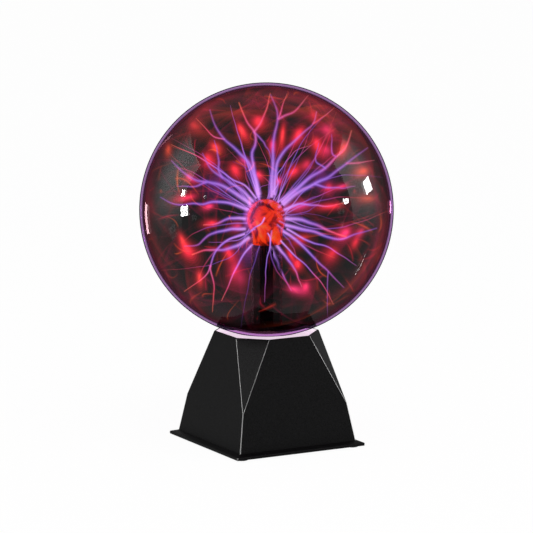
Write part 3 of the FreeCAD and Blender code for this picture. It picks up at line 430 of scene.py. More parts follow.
# Streamers laid out as the display side shows them: each point is (right, up) from the globe's
# centre in globe radii, from the electrode out. Every row is (side, width in mm, tone at the tip
# 0 to 1, points, branches): side is 1 towards the display side and -1 away, and a branch is (the
# point that it leaves, width, tone, its further points).
STREAMERS = [
    (-1, 3.9, 1.0, [(-.06, .10), (-.08, .24), (-.11, .42), (-.09, .52), (-.10, .62), (-.16, .71),
     (-.22, .86)], [(4, 2.7, 1.0, [(-.04, .70), (.00, .80), (.03, .93)]), (4, 2.3, .2, [(-.03, .56),
     (.02, .48), (.05, .38)])]),
    (1, 4.4, .3, [(.04, .10), (.045, .28), (.05, .44), (.06, .58), (.09, .70), (.07, .80),
     (.03, .89)], [(4, 2.7, .8, [(.14, .73), (.24, .79), (.33, .90)]), (4, 2.0, .9, [(.12, .78),
     (.16, .90)])]),
    (-1, 3.9, .4, [(.06, .12), (.08, .34), (.15, .48), (.27, .60), (.37, .69), (.40, .79)], [(4,
     2.0, 1.0, [(.45, .74), (.53, .80)])]),
    (1, 4.4, .9, [(.12, .06), (.22, .15), (.34, .25), (.46, .32), (.54, .41), (.62, .49),
     (.66, .61)], [(3, 2.0, .1, [(.38, .38), (.40, .50)]), (4, 2.0, .2, [(.51, .44), (.50, .57)])]),
    (1, 4.5, .2, [(.13, .04), (.24, .13), (.38, .20), (.50, .26), (.62, .36), (.79, .48)], [(2, 2.7,
     .3, [(.52, .16), (.68, .17)]), (4, 2.3, .7, [(.72, .36), (.84, .38)])]),
    (1, 4.2, 1.0, [(.15, -.07), (.27, -.08), (.39, -.13), (.50, -.18), (.61, -.22)], []),
    (-1, 3.6, .1, [(.15, -.12), (.28, -.15), (.40, -.18), (.56, -.23), (.72, -.19), (.88, -.14)],
     []),
    (1, 3.0, .3, [(.13, -.17), (.25, -.25), (.38, -.38), (.48, -.49), (.60, -.61)], [(3, 1.4, .2,
     [(.48, -.50), (.47, -.66), (.48, -.84)])]),
    (1, 3.0, .7, [(.08, -.28), (.15, -.37), (.22, -.47), (.27, -.60)], []),
    (-1, 3.0, .4, [(.03, -.29), (.09, -.42), (.14, -.53), (.20, -.64)], []),
    (1, 1.3, .3, [(.01, -.185), (.03, -.23), (.025, -.31), (.00, -.44), (-.015, -.72)], []),
    (1, 1.4, .2, [(-.015, -.065), (-.04, -.11), (-.10, -.15), (-.20, -.23), (-.32, -.26),
     (-.44, -.26)], []),
    (-1, 3.9, 1.0, [(-.14, -.22), (-.25, -.29), (-.38, -.31), (-.50, -.32), (-.60, -.35)], []),
    (1, 2.2, 1.0, [(-.17, -.19), (-.30, -.24), (-.39, -.32), (-.43, -.44), (-.48, -.52),
     (-.64, -.64)], [(3, 1.7, 1.0, [(-.44, -.46), (-.41, -.62), (-.42, -.80)])]),
    (1, 3.3, .3, [(-.17, -.15), (-.30, -.16), (-.44, -.20), (-.53, -.28), (-.63, -.29)], []),
    (-1, 3.4, .9, [(-.17, -.07), (-.28, -.06), (-.40, -.10), (-.51, -.11)], []),
    (1, 3.3, .1, [(-.15, .00), (-.28, .05), (-.40, .06), (-.50, .04), (-.57, .04), (-.70, .03),
     (-.82, .09)], []),
    (-1, 4.5, .2, [(-.13, .05), (-.23, .12), (-.35, .19), (-.48, .22), (-.58, .25), (-.67, .31),
     (-.76, .40)], [(3, 2.5, .2, [(-.58, .19), (-.72, .20)])]),
    (1, 3.9, .2, [(-.11, .07), (-.22, .17), (-.34, .24), (-.43, .31), (-.49, .42)], [(2, 2.8, .2,
     [(-.37, .30), (-.37, .40), (-.40, .52)])]),
    (1, 1.9, 1.0, [(-.08, .09), (-.17, .19), (-.28, .24), (-.41, .33), (-.56, .42), (-.74, .50)],
     []),
    (-1, 4.2, .2, [(-.06, .12), (-.12, .33), (-.22, .46), (-.33, .56), (-.41, .68), (-.45, .80)],
     [(3, 1.7, 1.0, [(-.44, .60), (-.56, .73)])]),
    (1, 1.6, .3, [(-.07, .12), (-.17, .42), (-.24, .64), (-.28, .80)], []),
    (1, 2.7, 1.0, [(.14, .00), (.26, .04), (.44, .02), (.60, .04)], []),
    (-1, 2.2, .3, [(.16, -.15), (.30, -.23), (.45, -.28), (.60, -.36), (.72, -.44)], []),
    (1, 1.7, .9, [(.10, -.23), (.20, -.34), (.31, -.44), (.42, -.56), (.52, -.74)], []),
    (-1, 2.2, .9, [(-.10, -.26), (-.20, -.38), (-.28, -.54), (-.36, -.72)], []),
    (1, 1.2, .6, [(.05, .14), (.09, .20), (.085, .27), (.14, .34), (.22, .44), (.34, .48)], []),
]

# Spots where a streamer that runs towards or away from the display side meets the glass: (side,
# right, up, width in mm, length in mm, lean in degrees from upright to the right, light, tone
# from 0 for magenta through 0.5 for red to 1 for orange).
SPOTS = [
     (-1, -.07, .75, 11, 12, 0, 1.0, .5), (-1, -.20, .66, 7, 18, -24, 1.1, .55),
    (-1, -.42, .53, 8, 13, -45, .9, .6), (-1, -.49, .43, 11, 15, -30, .8, .5),
    (-1, -.26, .34, 9, 14, -30, .9, .5), (-1, -.06, .30, 7, 10, -30, .9, .45),
    (-1, .10, .25, 7, 8, 0, .8, .5), (-1, .22, .33, 8, 13, 50, .9, .5),
    (-1, .33, .39, 9, 13, 40, .5, .45), (-1, .13, .61, 5, 24, 8, .9, .55),
    (-1, .05, .54, 7, 14, 0, .9, .45), (-1, .26, .63, 8, 19, 28, 1.0, .5),
    (-1, .43, .55, 9, 16, 0, .9, .5), (-1, .52, .67, 11, 13, -30, .5, .4),
    (1, .49, .46, 11, 11, 0, .5, .4), (1, .61, .47, 8, 16, 35, .8, .6),
    (-1, .52, .19, 8, 11, 30, .5, .5), (-1, .61, .20, 5, 16, 75, .7, .4),
    (1, .77, .30, 9, 16, 70, .7, .8), (-1, .25, .04, 10, 28, 78, .6, .3),
    (-1, .52, .04, 6, 22, 85, .8, .5), (1, .62, -.21, 9, 14, 60, 1.0, .4),
    (-1, .77, -.19, 7, 13, 60, .6, .4), (1, .52, -.38, 11, 14, 40, .6, .5),
    (1, .70, -.28, 6, 11, 30, .6, .5), (-1, .26, -.45, 7, 9, 0, 1.0, .5),
    (-1, .21, -.38, 5, 16, -30, .7, .5), (1, .24, -.65, 8, 16, -60, .75, .35),
    (1, .31, -.63, 7, 10, 0, .8, .4), (-1, .03, -.48, 4, 13, -15, .7, .5),
    (1, -.26, -.52, 11, 19, 15, .5, .45), (-1, -.22, -.60, 14, 17, 0, .22, .4),
    (-1, -.31, -.37, 9, 16, -20, .8, .5), (1, -.53, -.56, 6, 15, 15, .8, .6),
    (1, -.63, -.35, 10, 16, -40, 1.0, .5), (-1, -.69, -.26, 6, 16, -25, .8, .6),
    (-1, -.47, -.10, 6, 13, 80, .8, .5), (-1, -.49, .04, 6, 11, 80, .9, .4),
    (1, -.65, .08, 7, 21, 85, .8, .45), (-1, -.63, .27, 6, 14, -55, .8, .4),
    (-1, -.26, -.13, 9, 12, 70, .5, .35), (-1, -.18, .42, 7, 13, -50, .5, .3),
    (-1, .28, -.25, 11, 18, 70, .4, .5), (-1, .40, .78, 8, 14, 0, .5, .5),
    (-1, -.59, .70, 10, 15, -45, .5, .6), (1, -.79, .47, 6, 12, -30, .7, .8),
    (-1, -.16, -.36, 20, 26, 20, .25, .0), (-1, -.45, .22, 22, 26, 0, .15, .0),
    (-1, .50, .28, 22, 26, 0, .15, .0), (1, .80, .08, 8, 20, 85, .4, .8),
]

# Each streamer is a stack of nested tubes, so that its light falls off softly towards its edge:
# (share of its half width, share of its light).
STREAMER_SHELLS = ((1.5, 0.025), (1.2, 0.045), (0.95, 0.075), (0.72, 0.12), (0.50, 0.18),
                   (0.30, 0.25))
SPOT_SHELLS = ((1.75, 0.009), (1.5, 0.017), (1.28, 0.027), (1.08, 0.039), (0.90, 0.053),
               (0.74, 0.066), (0.60, 0.077), (0.46, 0.083), (0.33, 0.083), (0.20, 0.070))


def depth_of(reach, right, up):
    """How far towards the display side a point at this reach lies, all in globe radii."""
    return math.sqrt(max(0.0, reach ** 2 - right ** 2 - up ** 2))


LAID_STEP = 2.5 * MM  # between the points of a streamer that was laid out
LOOSE_STEP = 3 * MM  # and of one that wasn't
WANDER = 1.2 * MM  # how far a streamer strays sideways
THINS, FADES = 0.65, 0.45  # what a streamer loses of its width and its light by the glass


def seen(right, up, towards):
    """A point of the globe from its place as the display side shows it, in globe radii."""
    return GLOBE_CENTRE + (SEEN_RIGHT * right + SEEN_UP * up - SEEN_AHEAD * towards) * GLOBE_RADIUS


def smooth_line(points, step):
    """A Catmull-Rom curve through points, in steps of about this length."""
    padded = [points[0] * 2 - points[1]] + list(points) + [points[-1] * 2 - points[-2]]
    line = []
    for a, b, c, d in zip(padded, padded[1:], padded[2:], padded[3:]):
        count = max(2, round((c - b).length / step))
        for k in range(count):
            s = k / count
            line.append(0.5 * (2 * b + (c - a) * s + (2 * a - 5 * b + 4 * c - d) * s ** 2
                               + (3 * b - a - 3 * c + d) * s ** 3))
    line.append(points[-1])
    return line


def wandered(line, seed, amount):
    """The line with a small sideways wander that leaves both ends in place."""
    moved = []
    for k, point in enumerate(line):
        share = k / (len(line) - 1)
        push = noise.noise_vector(point / (14 * MM) + Vector((seed * 7.3, 0, 0)))
        moved.append(point + push * amount * math.sin(math.pi * share))
    return moved


def random_turn(rng):
    """A direction with nothing preferred."""
    return Vector((rng.gauss(0, 1), rng.gauss(0, 1), rng.gauss(0, 1))).normalized()


def across(direction, rng):
    """A random direction square to another."""
    side = direction.orthogonal().normalized()
    side.rotate(Matrix.Rotation(rng.uniform(0, 2 * math.pi), 3, direction))
    return side


class Glow:
    """Meshes of lit gas gathered into one piece. Every vertex has its place along its streamer,
    the tone of its colour, how near it is to the core, and its power."""

    def __init__(self, sides=8):
        self.sides, self.vertices, self.faces = sides, [], []
        self.along, self.tone, self.core, self.power = [], [], [], []

    def note(self, point, along, tone, power, core=0.0):
        out = Vector(point) - GLOBE_CENTRE
        self.vertices.append(GLOBE_CENTRE + out * min(1.0, GAS_ROOM / max(out.length, 1e-6)))
        self.along.append(along)
        self.tone.append(tone)
        self.core.append(core)
        self.power.append(power)
        return len(self.vertices) - 1

    def tube(self, line, radii, alongs, tone, powers, core=0.0):
        """A tube of changing radius along a line."""
        side = Vector((0.3, 0.5, 0.8))
        previous = None
        for k, (point, radius, along, power) in enumerate(zip(line, radii, alongs, powers)):
            ahead = line[min(k + 1, len(line) - 1)] - line[max(k - 1, 0)]
            side = (side - ahead * (side.dot(ahead) / ahead.length_squared)).normalized()
            up = ahead.normalized().cross(side)
            ring = []
            for n in range(self.sides):
                angle = 2 * math.pi * n / self.sides
                place = point + (side * math.cos(angle) + up * math.sin(angle)) * radius
                ring.append(self.note(place, along, tone, power, core))
            if previous:
                for n in range(self.sides):
                    m = (n + 1) % self.sides
                    self.faces.append((previous[n], previous[m], ring[m], ring[n]))
            else:
                self.faces.append(tuple(reversed(ring)))
            previous = ring
        self.faces.append(tuple(previous))

    def spindle(self, centre, axis, long, wide, tone, power, core, rings=10):
        """An egg of light about a centre, drawn out along an axis."""
        sweep = [math.pi * k / rings for k in range(rings + 1)]
        line = [centre - axis * (long * math.cos(turn)) for turn in sweep]
        radii = [wide * max(0.02, math.sin(turn)) for turn in sweep]
        self.tube(line, radii, [1.0] * len(line), tone, [power] * len(line), core)

    def piece(self, name, material):
        made = new_piece(name, self.vertices, self.faces, material)
        for key in ("along", "tone", "core", "power"):
            layer = made.data.attributes.new(key, "FLOAT", "POINT")
            layer.data.foreach_set("value", getattr(self, key))
        return made


def noted(tree, name):
    return add(tree, "Attribute", attribute_name=name).outputs["Fac"]


def blend(tree, share, first, second):
    """A colour mix of two colours, each a value or a socket."""
    return add(tree, "Mix", {0: share, 6: first, 7: second}, data_type="RGBA").outputs[2]


def streamer_colour(tree, settings):
    """Lavender at the root, violet half way, and where it is hot, pink, red and orange at the
    glass. Its core is paler than its edge."""
    along = noted(tree, "along")
    root, middle, tip = (tuple(c) for c in (settings.root, settings.middle, settings.tip))
    cool = ramp(tree, along, (0.0, root), (0.2, "#9a62f0"), (0.5, middle),
                (1.0, "#4a3aac"))
    hot = ramp(tree, along, (0.0, root), (0.25, "#a064ee"), (0.48, "#9048d8"),
               (0.66, "#f04a90"), (0.82, tip), (1.0, "#ff6a2a"))
    colour = blend(tree, noted(tree, "tone"), cool, hot)
    young = add(tree, "MapRange", {"Value": along, 3: 0.55, 4: 0.12}).outputs[0]
    paler = add(tree, "Math", {0: noted(tree, "core"), 1: young}, operation="MULTIPLY").outputs[0]
    return blend(tree, paler, colour, rgba("#f4b8ff"))


def spot_colour(tree):
    """Magenta, crimson or orange at the edge of a spot, hotter in its middle."""
    tone = noted(tree, "tone")
    edge = ramp(tree, tone, (0.0, "#7a1a78"), (0.3, "#b01048"), (0.5, "#c80c30"),
                (1.0, "#c83010"))
    middle = ramp(tree, tone, (0.0, "#c040c0"), (0.3, "#ff4090"), (0.5, "#ff3040"),
                  (1.0, "#ff6a30"))
    return blend(tree, noted(tree, "core"), edge, middle)


def wisp_colour(tree):
    """Crimson gas near the glass, and orange where it is hottest."""
    return ramp(tree, noted(tree, "tone"), (0.0, "#8c0c44"), (0.5, "#c4142c"),
                (1.0, "#ff6a1c"))


def gas_material(name, colour_of, light, body=None):
    """Lit gas. It adds its light to what is behind it and hides nothing, or, where it has a body,
    its power is also the share of what is behind it that it hides."""
    material, tree, surface = new_material(name)
    power, clear = noted(tree, "power"), add(tree, "BsdfTransparent").outputs[0]
    if body:
        hidden = add(tree, "Math", {0: power, 1: body}, operation="MULTIPLY").outputs[0]
        lit = add(tree, "BsdfPrincipled", {
            "Base Color": grey(0.0), "Roughness": 1.0, "Specular IOR Level": 0.0,
            "Emission Color": colour_of(tree), "Emission Strength": light}).outputs[0]
        both = add(tree, "MixShader", {0: hidden, 1: clear, 2: lit})
    else:
        strength = add(tree, "Math", {0: power, 1: light}, operation="MULTIPLY").outputs[0]
        lit = add(tree, "Emission", {"Color": colour_of(tree), "Strength": strength}).outputs[0]
        both = add(tree, "AddShader", {0: clear, 1: lit})
    tree.links.new(both.outputs[0], surface)
    material.cycles.emission_sampling = "NONE"
    return material


def streamer_line(points, side, reach, start=None):
    """A laid-out streamer as a line in the globe. Its depth grows with its length, from the
    electrode's glass until it meets the globe's."""
    end_depth = side * depth_of(reach, *points[-1])
    if start is None:
        right, up = points[0]
        root = seen(right, up, 0) - BULB_CENTRE
        lift = math.sqrt(max(0.0, BULB_RADIUS ** 2 - root.length_squared)) / GLOBE_RADIUS
        first_depth = side * lift
        origin = []
    else:
        first_depth = -(start - GLOBE_CENTRE).dot(SEEN_AHEAD) / GLOBE_RADIUS
        origin = [start]
    lengths = [0.0 if start is None else math.dist(points[0], shown(start))]
    for a, b in zip(points, points[1:]):
        lengths.append(lengths[-1] + math.dist(a, b))
    solid = []
    for (right, up), length in zip(points, lengths):
        depth = first_depth + (end_depth - first_depth) * length / lengths[-1]
        limit = depth_of(reach, right, up)
        solid.append(seen(right, up, max(-limit, min(limit, depth))))
    return smooth_line(origin + solid, LAID_STEP)


def shown(point):
    """(right, up) of a point of the globe, as the display side shows it, in globe radii."""
    out = (point - GLOBE_CENTRE) / GLOBE_RADIUS
    return out.dot(SEEN_RIGHT), out.dot(SEEN_UP)


class PLASMA_OT_streamers(bpy.types.Operator):
    """Grows the streamers from the electrode out to the glass"""
    bl_idname = "plasma.streamers"
    bl_label = "Streamers"

    def execute(self, context):
        settings = context.scene.plasma_streamers
        rng = random.Random(settings.seed)
        self.threads, self.spots = Glow(10), Glow(14)
        for number, (side, width, tone, points, branches) in enumerate(STREAMERS):
            line = streamer_line(points, side, settings.reach)
            self.grow(line, width, tone, number)
            for leaves, thin, branch_tone, further in branches:
                start = min(line, key=lambda p: math.dist(shown(p), points[leaves]))
                twig = streamer_line(further, side, settings.reach, start)
                self.grow(twig, thin, branch_tone, number + 50, parted=leaves / (len(points) - 1))
        for number in range(settings.loose):
            self.loose(rng, 100 + number, settings)
        for number, (side, right, up, width, length, lean, light, tone) in enumerate(SPOTS):
            tip = seen(right, up, side * depth_of(settings.reach, right, up))
            if number % 2 and light > 0.3:
                self.feeder(tip, rng, 300 + number)
            self.spot(tip, width, length, math.radians(lean), light, tone)
        streamers = self.threads.piece("streamers", gas_material(
            "ionised gas, streamer", lambda tree: streamer_colour(tree, settings),
            settings.light, body=1.0))
        spots = self.spots.piece("glass_spots", gas_material(
            "ionised gas, spot on the glass", spot_colour, settings.light * 1.3))
        return {"FINISHED"}

    def grow(self, line, width, tone, seed, parted=0.0, light=1.0):
        """One streamer: it tapers from its root, or from where it parted, to the glass."""
        line = wandered(line, seed, WANDER)
        count = len(line)
        shares = [k / (count - 1) for k in range(count)]
        alongs = [parted + (1 - parted) * share for share in shares]
        half = width * MM / 2
        radii = [half * (1 - THINS * share ** 1.5) for share in shares]
        powers = [light * (1.0 - FADES * along) for along in alongs]
        for level, (scale, power) in enumerate(STREAMER_SHELLS):
            self.threads.tube(
                line, [r * scale for r in radii], alongs, tone, [p * power for p in powers],
                light * level / (len(STREAMER_SHELLS) - 1))

    def spot(self, tip, width, length, lean, light, tone):
        """A soft red spot where a streamer meets the glass, drawn out along the glass."""
        axis = SEEN_RIGHT * math.sin(lean) + SEEN_UP * math.cos(lean)
        out = (tip - GLOBE_CENTRE).normalized()
        axis = (axis - out * axis.dot(out) * 0.8).normalized()
        wide, long = width * MM * 0.6, length * MM * 0.58
        centre = tip - out * wide * 0.8
        for level, (scale, power) in enumerate(SPOT_SHELLS):
            self.spots.spindle(
                centre + axis * long * (1 - scale) * 0.25, axis, long * scale,
                wide * scale ** 1.15, tone, power * light, level / (len(SPOT_SHELLS) - 1))

    def feeder(self, tip, rng, seed):
        """The faint streamer that ends in a spot."""
        ahead = (tip - BULB_CENTRE).normalized()
        bow = across(ahead, rng) * GLOBE_RADIUS * rng.uniform(0.02, 0.10)
        start = BULB_CENTRE + ahead * BULB_RADIUS
        points = [start.lerp(tip, k / 4) + bow * math.sin(math.pi * k / 4) for k in range(5)]
        self.grow(smooth_line(points, LOOSE_STEP), rng.uniform(1.2, 2.4), 1.0, seed, light=0.35)

    def loose(self, rng, seed, settings):
        """A thin streamer in any direction."""
        ahead = random_turn(rng)
        if ahead.dot(SEEN_AHEAD) < -0.4:
            ahead = ahead - 2 * ahead.dot(SEEN_AHEAD) * SEEN_AHEAD
        bow = across(ahead, rng) * GLOBE_RADIUS * rng.uniform(0.03, 0.16)
        start = BULB_CENTRE + ahead * BULB_RADIUS
        stop = GLOBE_CENTRE + ahead * GLOBE_RADIUS * settings.reach
        skew = rng.uniform(0.7, 1.3)
        points = [start.lerp(stop, k / 4) + bow * math.sin(math.pi * min(1.0, (k / 4) ** skew))
                  for k in range(5)]
        self.grow(smooth_line(points, LOOSE_STEP), rng.uniform(0.7, 1.6), rng.random(), seed,
                  light=rng.uniform(0.25, 0.6))


class PLASMA_OT_wisps(bpy.types.Operator):
    """Hangs curtains of faint crimson gas and short bright wisps along the inside of the glass"""
    bl_idname = "plasma.wisps"
    bl_label = "Wisps"

    def execute(self, context):
        settings = context.scene.plasma_streamers
        rng = random.Random(settings.seed + 1)
        curtains = Glow()
        for number in range(settings.curtains):
            self.curtain(curtains, rng)
        hung = curtains.piece("gas_curtains", gas_material(
            "ionised gas, curtain", wisp_colour, settings.light * 0.5))
        wisps = Glow(5)
        for number in range(settings.wisps):
            self.wisp(wisps, rng, settings.reach)
        strewn = wisps.piece("gas_wisps", gas_material(
            "ionised gas, wisp", wisp_colour, settings.light))
        return {"FINISHED"}

    def curtain(self, curtains, rng):
        """A strip of light that stands out from the glass, so it shows most where the glass is
        seen edge on. Its power fades to nothing at its borders."""
        out = random_turn(rng)
        if out.z < -0.8:
            out.z = -out.z
        ahead = across(out, rng)
        angle = rng.uniform(0.30, 0.85)
        deep = rng.uniform(0.06, 0.20)
        tone, power = rng.random() ** 2 * 0.8, rng.uniform(0.12, 0.56)
        wave, tilt = rng.uniform(0, 6), across(out, rng) * rng.uniform(0.0, 0.12)
        columns, rows = 18, 7
        grid = []
        for i in range(columns + 1):
            u = i / columns
            turn = (u - 0.5) * 2 * angle
            foot = out * math.cos(turn) + ahead * math.sin(turn)
            top = 0.55 + 0.45 * noise.noise(Vector((wave, u * 5, 0)))
            column = []
            for j in range(rows + 1):
                v = j / rows
                radius = 0.972 - deep * (1 - v) * max(0.15, top)
                fade = math.sin(math.pi * u) ** 1.5 * v ** 1.3 * (1.0 if j < rows else 0.3)
                streak = 0.8 + 0.6 * noise.noise(Vector((wave, u * 5, v * 3)))
                place = (foot + tilt * (1 - v)).normalized() * radius
                column.append(curtains.note(GLOBE_CENTRE + place * GLOBE_RADIUS, 1.0, tone,
                                            max(0.0, power * fade * streak)))
            grid.append(column)
        for left, right in zip(grid, grid[1:]):
            for j in range(rows):
                curtains.faces.append((left[j], right[j], right[j + 1], left[j + 1]))

    def wisp(self, wisps, rng, reach):
        """A short bright thread that lies along the glass or stands a little out of it."""
        out = random_turn(rng)
        if out.z < -0.85:
            out.z = -out.z
        ahead = across(out, rng)
        angle, rise = rng.uniform(0.04, 0.22), rng.uniform(0.0, 0.12)
        bend = across(out, rng) * rng.uniform(0.0, 0.05)
        line, count = [], 9
        for k in range(count):
            share = k / (count - 1)
            place = out * math.cos(angle * share) + ahead * math.sin(angle * share)
            place = (place + bend * math.sin(math.pi * share)).normalized()
            line.append(GLOBE_CENTRE + place * GLOBE_RADIUS * (reach - rise * share ** 1.5))
        bright = rng.uniform(0.06, 0.35)
        powers = [bright * math.sin(math.pi * (k + 1) / (count + 1)) for k in range(count)]
        thin = rng.uniform(0.3, 1.1) * MM
        tone = 0.2 + 0.8 * rng.random()
        for scale, share in ((2.6, 0.08), (1.7, 0.14), (1.0, 0.24), (0.5, 0.3)):
            radii = [thin * scale * (1 - 0.7 * k / (count - 1)) for k in range(count)]
            wisps.tube(line, radii, [1.0] * count, tone, [p * share for p in powers])


# --- Base ----------------------------------------------------------------------------------------


class PLASMA_OT_base(bpy.types.Operator):
    """Finishes the base's plastics, rubber, screws and the pale seat of the globe"""
    bl_idname = "plasma.base"
    bl_label = "Base"

    def execute(self, context):
        settings = context.scene.plasma_base
        # Moulded ABS with a fine spark-eroded texture: a dull sheen broken into tiny glints.
        abs_black, tree, shader = principled(
            "moulded ABS, black", (*settings.plastic, 1.0), 0.5, ior=1.5)
        shader.inputs["Specular IOR Level"].default_value = 0.08
        place = add(tree, "TexCoord").outputs["Object"]
        grains = add(tree, "TexNoise", {"Vector": place, "Scale": grain_scale(settings.grain),
                                        "Detail": 3.0, "Roughness": 0.7}).outputs["Fac"]
        bump = add(tree, "Bump", {"Height": grains, "Strength": 0.55, "Distance": 0.06 * MM})
        tree.links.new(bump.outputs["Normal"], shader.inputs["Normal"])
        # The creases carry a painted highlight: where the surface turns from one face to the next
        # it is made pale grey, metallic and smoother, so the lights show there as bright lines.
        normal = add(tree, "NewGeometry").outputs["Normal"]
        flat = add(tree, "VectorMath", {0: normal}, operation="ABSOLUTE").outputs[0]
        axes = add(tree, "SeparateXYZ", {0: flat}).outputs
        small = add(tree, "Math", {0: axes["X"], 1: axes["Y"]}, operation="MINIMUM").outputs[0]
        large = add(tree, "Math", {0: axes["X"], 1: axes["Y"]}, operation="MAXIMUM").outputs[0]
        slant = add(tree, "Math", {0: small, 1: large}, operation="DIVIDE").outputs[0]
        crease = ramp(tree, slant, (0.0, grey(0.0)), (0.05, grey(0.0)), (0.12, grey(1.0)),
                      (0.85, grey(1.0)), (0.95, grey(0.0)))
        steep = add(tree, "MapRange", {"Value": axes["Z"], 1: 0.6, 2: 0.3}).outputs[0]
        painted_crease_highlight = add(tree, "Math", {0: crease, 1: steep}, operation="MULTIPLY").outputs[0]
        tree.links.new(painted_crease_highlight, shader.inputs["Metallic"])
        plastic = Vector(settings.plastic)
        speckled = ramp(tree, grains, (0.38, tuple(plastic * 0.35)), (0.62, tuple(plastic * 2.1)))
        tree.links.new(blend(tree, painted_crease_highlight, speckled, grey(0.55)), shader.inputs["Base Color"])
        rough = add(tree, "MapRange", {"Value": painted_crease_highlight, 3: 0.5, 4: 0.3}).outputs[0]
        tree.links.new(rough, shader.inputs["Roughness"])
        for name in ("base_shell", "plinth_plate", "neck_collar"):
            finish_node(name, abs_black)

        # Moulded rubber: matt, with a faint bloom.
        coat("rubber_feet", "moulded rubber, black", ("#0c0c0c", "#1a1a1b"), (0.75, 0.95),
             1.5 * MM, 0.03 * MM)
        # Zinc plating: bright, blue-grey, clouded where it was handled.
        coat("base_screws collar_screws board_screws transistor_screw", "zinc-plated steel",
             ("#9ea3a8", "#c8ccd0"), (0.25, 0.45), 2.0 * MM, 0.01 * MM, metallic=1.0)
        # Polished milky acrylic with a painted glow: its emission stands in for the globe's light
        # scattered inside it, so it glows pale pink all over.
        tree, shader = coat("seat_plate", "polished milky acrylic", ("#ece0f0", "#f8eefa"),
                            (0.10, 0.16), 6 * MM, 0.005 * MM, ior=1.49)
        # Painted glow: emission on a plate that is no lamp.
        shader.inputs["Emission Color"].default_value = rgba("#f6e6f4")
        shader.inputs["Emission Strength"].default_value = 0.8
        # Silicone: waxy and cloudy. Its pink colour is painted light from the globe.
        coat("globe_gasket silicone_bead stem_bung", "translucent silicone",
             ("#d8b4cc", "#ecd0e2"), (0.35, 0.5), 3 * MM, 0.05 * MM, ior=1.41)
        return {"FINISHED"}


# --- Switch and power inlet ----------------------------------------------------------------------


class PLASMA_OT_controls(bpy.types.Operator):
    """Finishes the rocker switch and the power inlet at the back, and marks the rocker"""
    bl_idname = "plasma.controls"
    bl_label = "Controls"

    def execute(self, context):
        # Moulded nylon of the switch's frame and the inlet: satin, faintly mottled.
        coat("switch_body dc_jack_body", "moulded nylon, satin black", ("#0e0e0f", "#1b1b1c"),
             (0.40, 0.55), 0.9 * MM, 0.02 * MM, ior=1.53)
        # The rocker is polished in the mould: sharp highlights with a little haze from fingers.
        coat("switch_rocker", "moulded nylon, polished", ("#080808", "#101011"), (0.12, 0.30),
             4 * MM, 0.004 * MM, ior=1.53)
        # Generic marks, pad-printed: chalky white, a little uneven. A bar for on, a ring for off.
        paint = finish("pad-printed white paint", ("#c8c8c6", "#e6e6e4"), (0.45, 0.6), 0.5 * MM,
                       0.004 * MM)[0]
        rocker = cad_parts["switch_rocker"]
        skin = BVHTree.FromPolygons(
            [rocker.matrix_world @ vertex.co for vertex in rocker.data.vertices],
            [face.vertices for face in rocker.data.polygons])

        for number, (centre, out, along) in enumerate(rocker_halves()):
            side = along.cross(out)

            def place(x, y, lift):
                """A point of the mark, this far off the rocker's curved face."""
                return skin.find_nearest(centre + side * x + along * y)[0] + out * lift

            if number:
                around = 32
                profile = ((1.45, 0.01), (1.40, 0.06), (1.05, 0.06), (1.00, 0.01))  # mm
                angles = [2 * math.pi * k / around for k in range(around)]
                points = [place(r * MM * math.cos(a), r * MM * math.sin(a), h * MM)
                          for r, h in profile for a in angles]
                faces = []
                for row in range(0, around * (len(profile) - 1), around):
                    for k in range(around):
                        m = (k + 1) % around
                        faces.append((row + k, row + m, row + around + m, row + around + k))
            else:
                rows = [-1.4 * MM + 0.35 * MM * k for k in range(9)]
                points = [place(x * 0.23 * MM, y, 0.05 * MM) for y in rows for x in (-1, 1)]
                faces = [(2 * k, 2 * k + 1, 2 * k + 3, 2 * k + 2) for k in range(8)]
            mark = new_piece(("mark_on", "mark_off")[number], points, faces, paint, smooth=False,
                             body="rocker")
        # Tinned brass: pale and slightly grey, scratched along its length.
        coat("switch_terminals dc_jack_nut dc_jack_pin dc_jack_terminals", "tinned brass",
             ("#b4ae9c", "#dcd8c8"), (0.18, 0.38), 0.8 * MM, 0.01 * MM, stretch=(1, 1, 0.2),
             metallic=1.0)
        return {"FINISHED"}


def rocker_halves():
    """The middles of the two halves of the rocker that are pressed, upper first: (centre, normal,
    direction along the rocker)."""
    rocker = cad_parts["switch_rocker"]
    turn = rocker.matrix_world
    strips = {}
    for face in rocker.data.polygons:
        normal = (turn.to_3x3() @ face.normal).normalized()
        key = tuple(round(value, 2) for value in normal)
        area, centre = strips.get(key, (0.0, Vector()))
        strips[key] = (area + face.area, centre + turn @ face.center * face.area)
    rows = [(centre / area, Vector(key).normalized()) for key, (area, centre) in strips.items()
            if area > 4e-6 and key[1] > 0.5]
    rows.sort(key=lambda row: row[0].z)
    return [(centre, out, (Vector((0, 0, 1)) - out * out.z).normalized())
            for centre, out in (rows[-2], rows[1])]


# --- Driver --------------------------------------------------------------------------------------


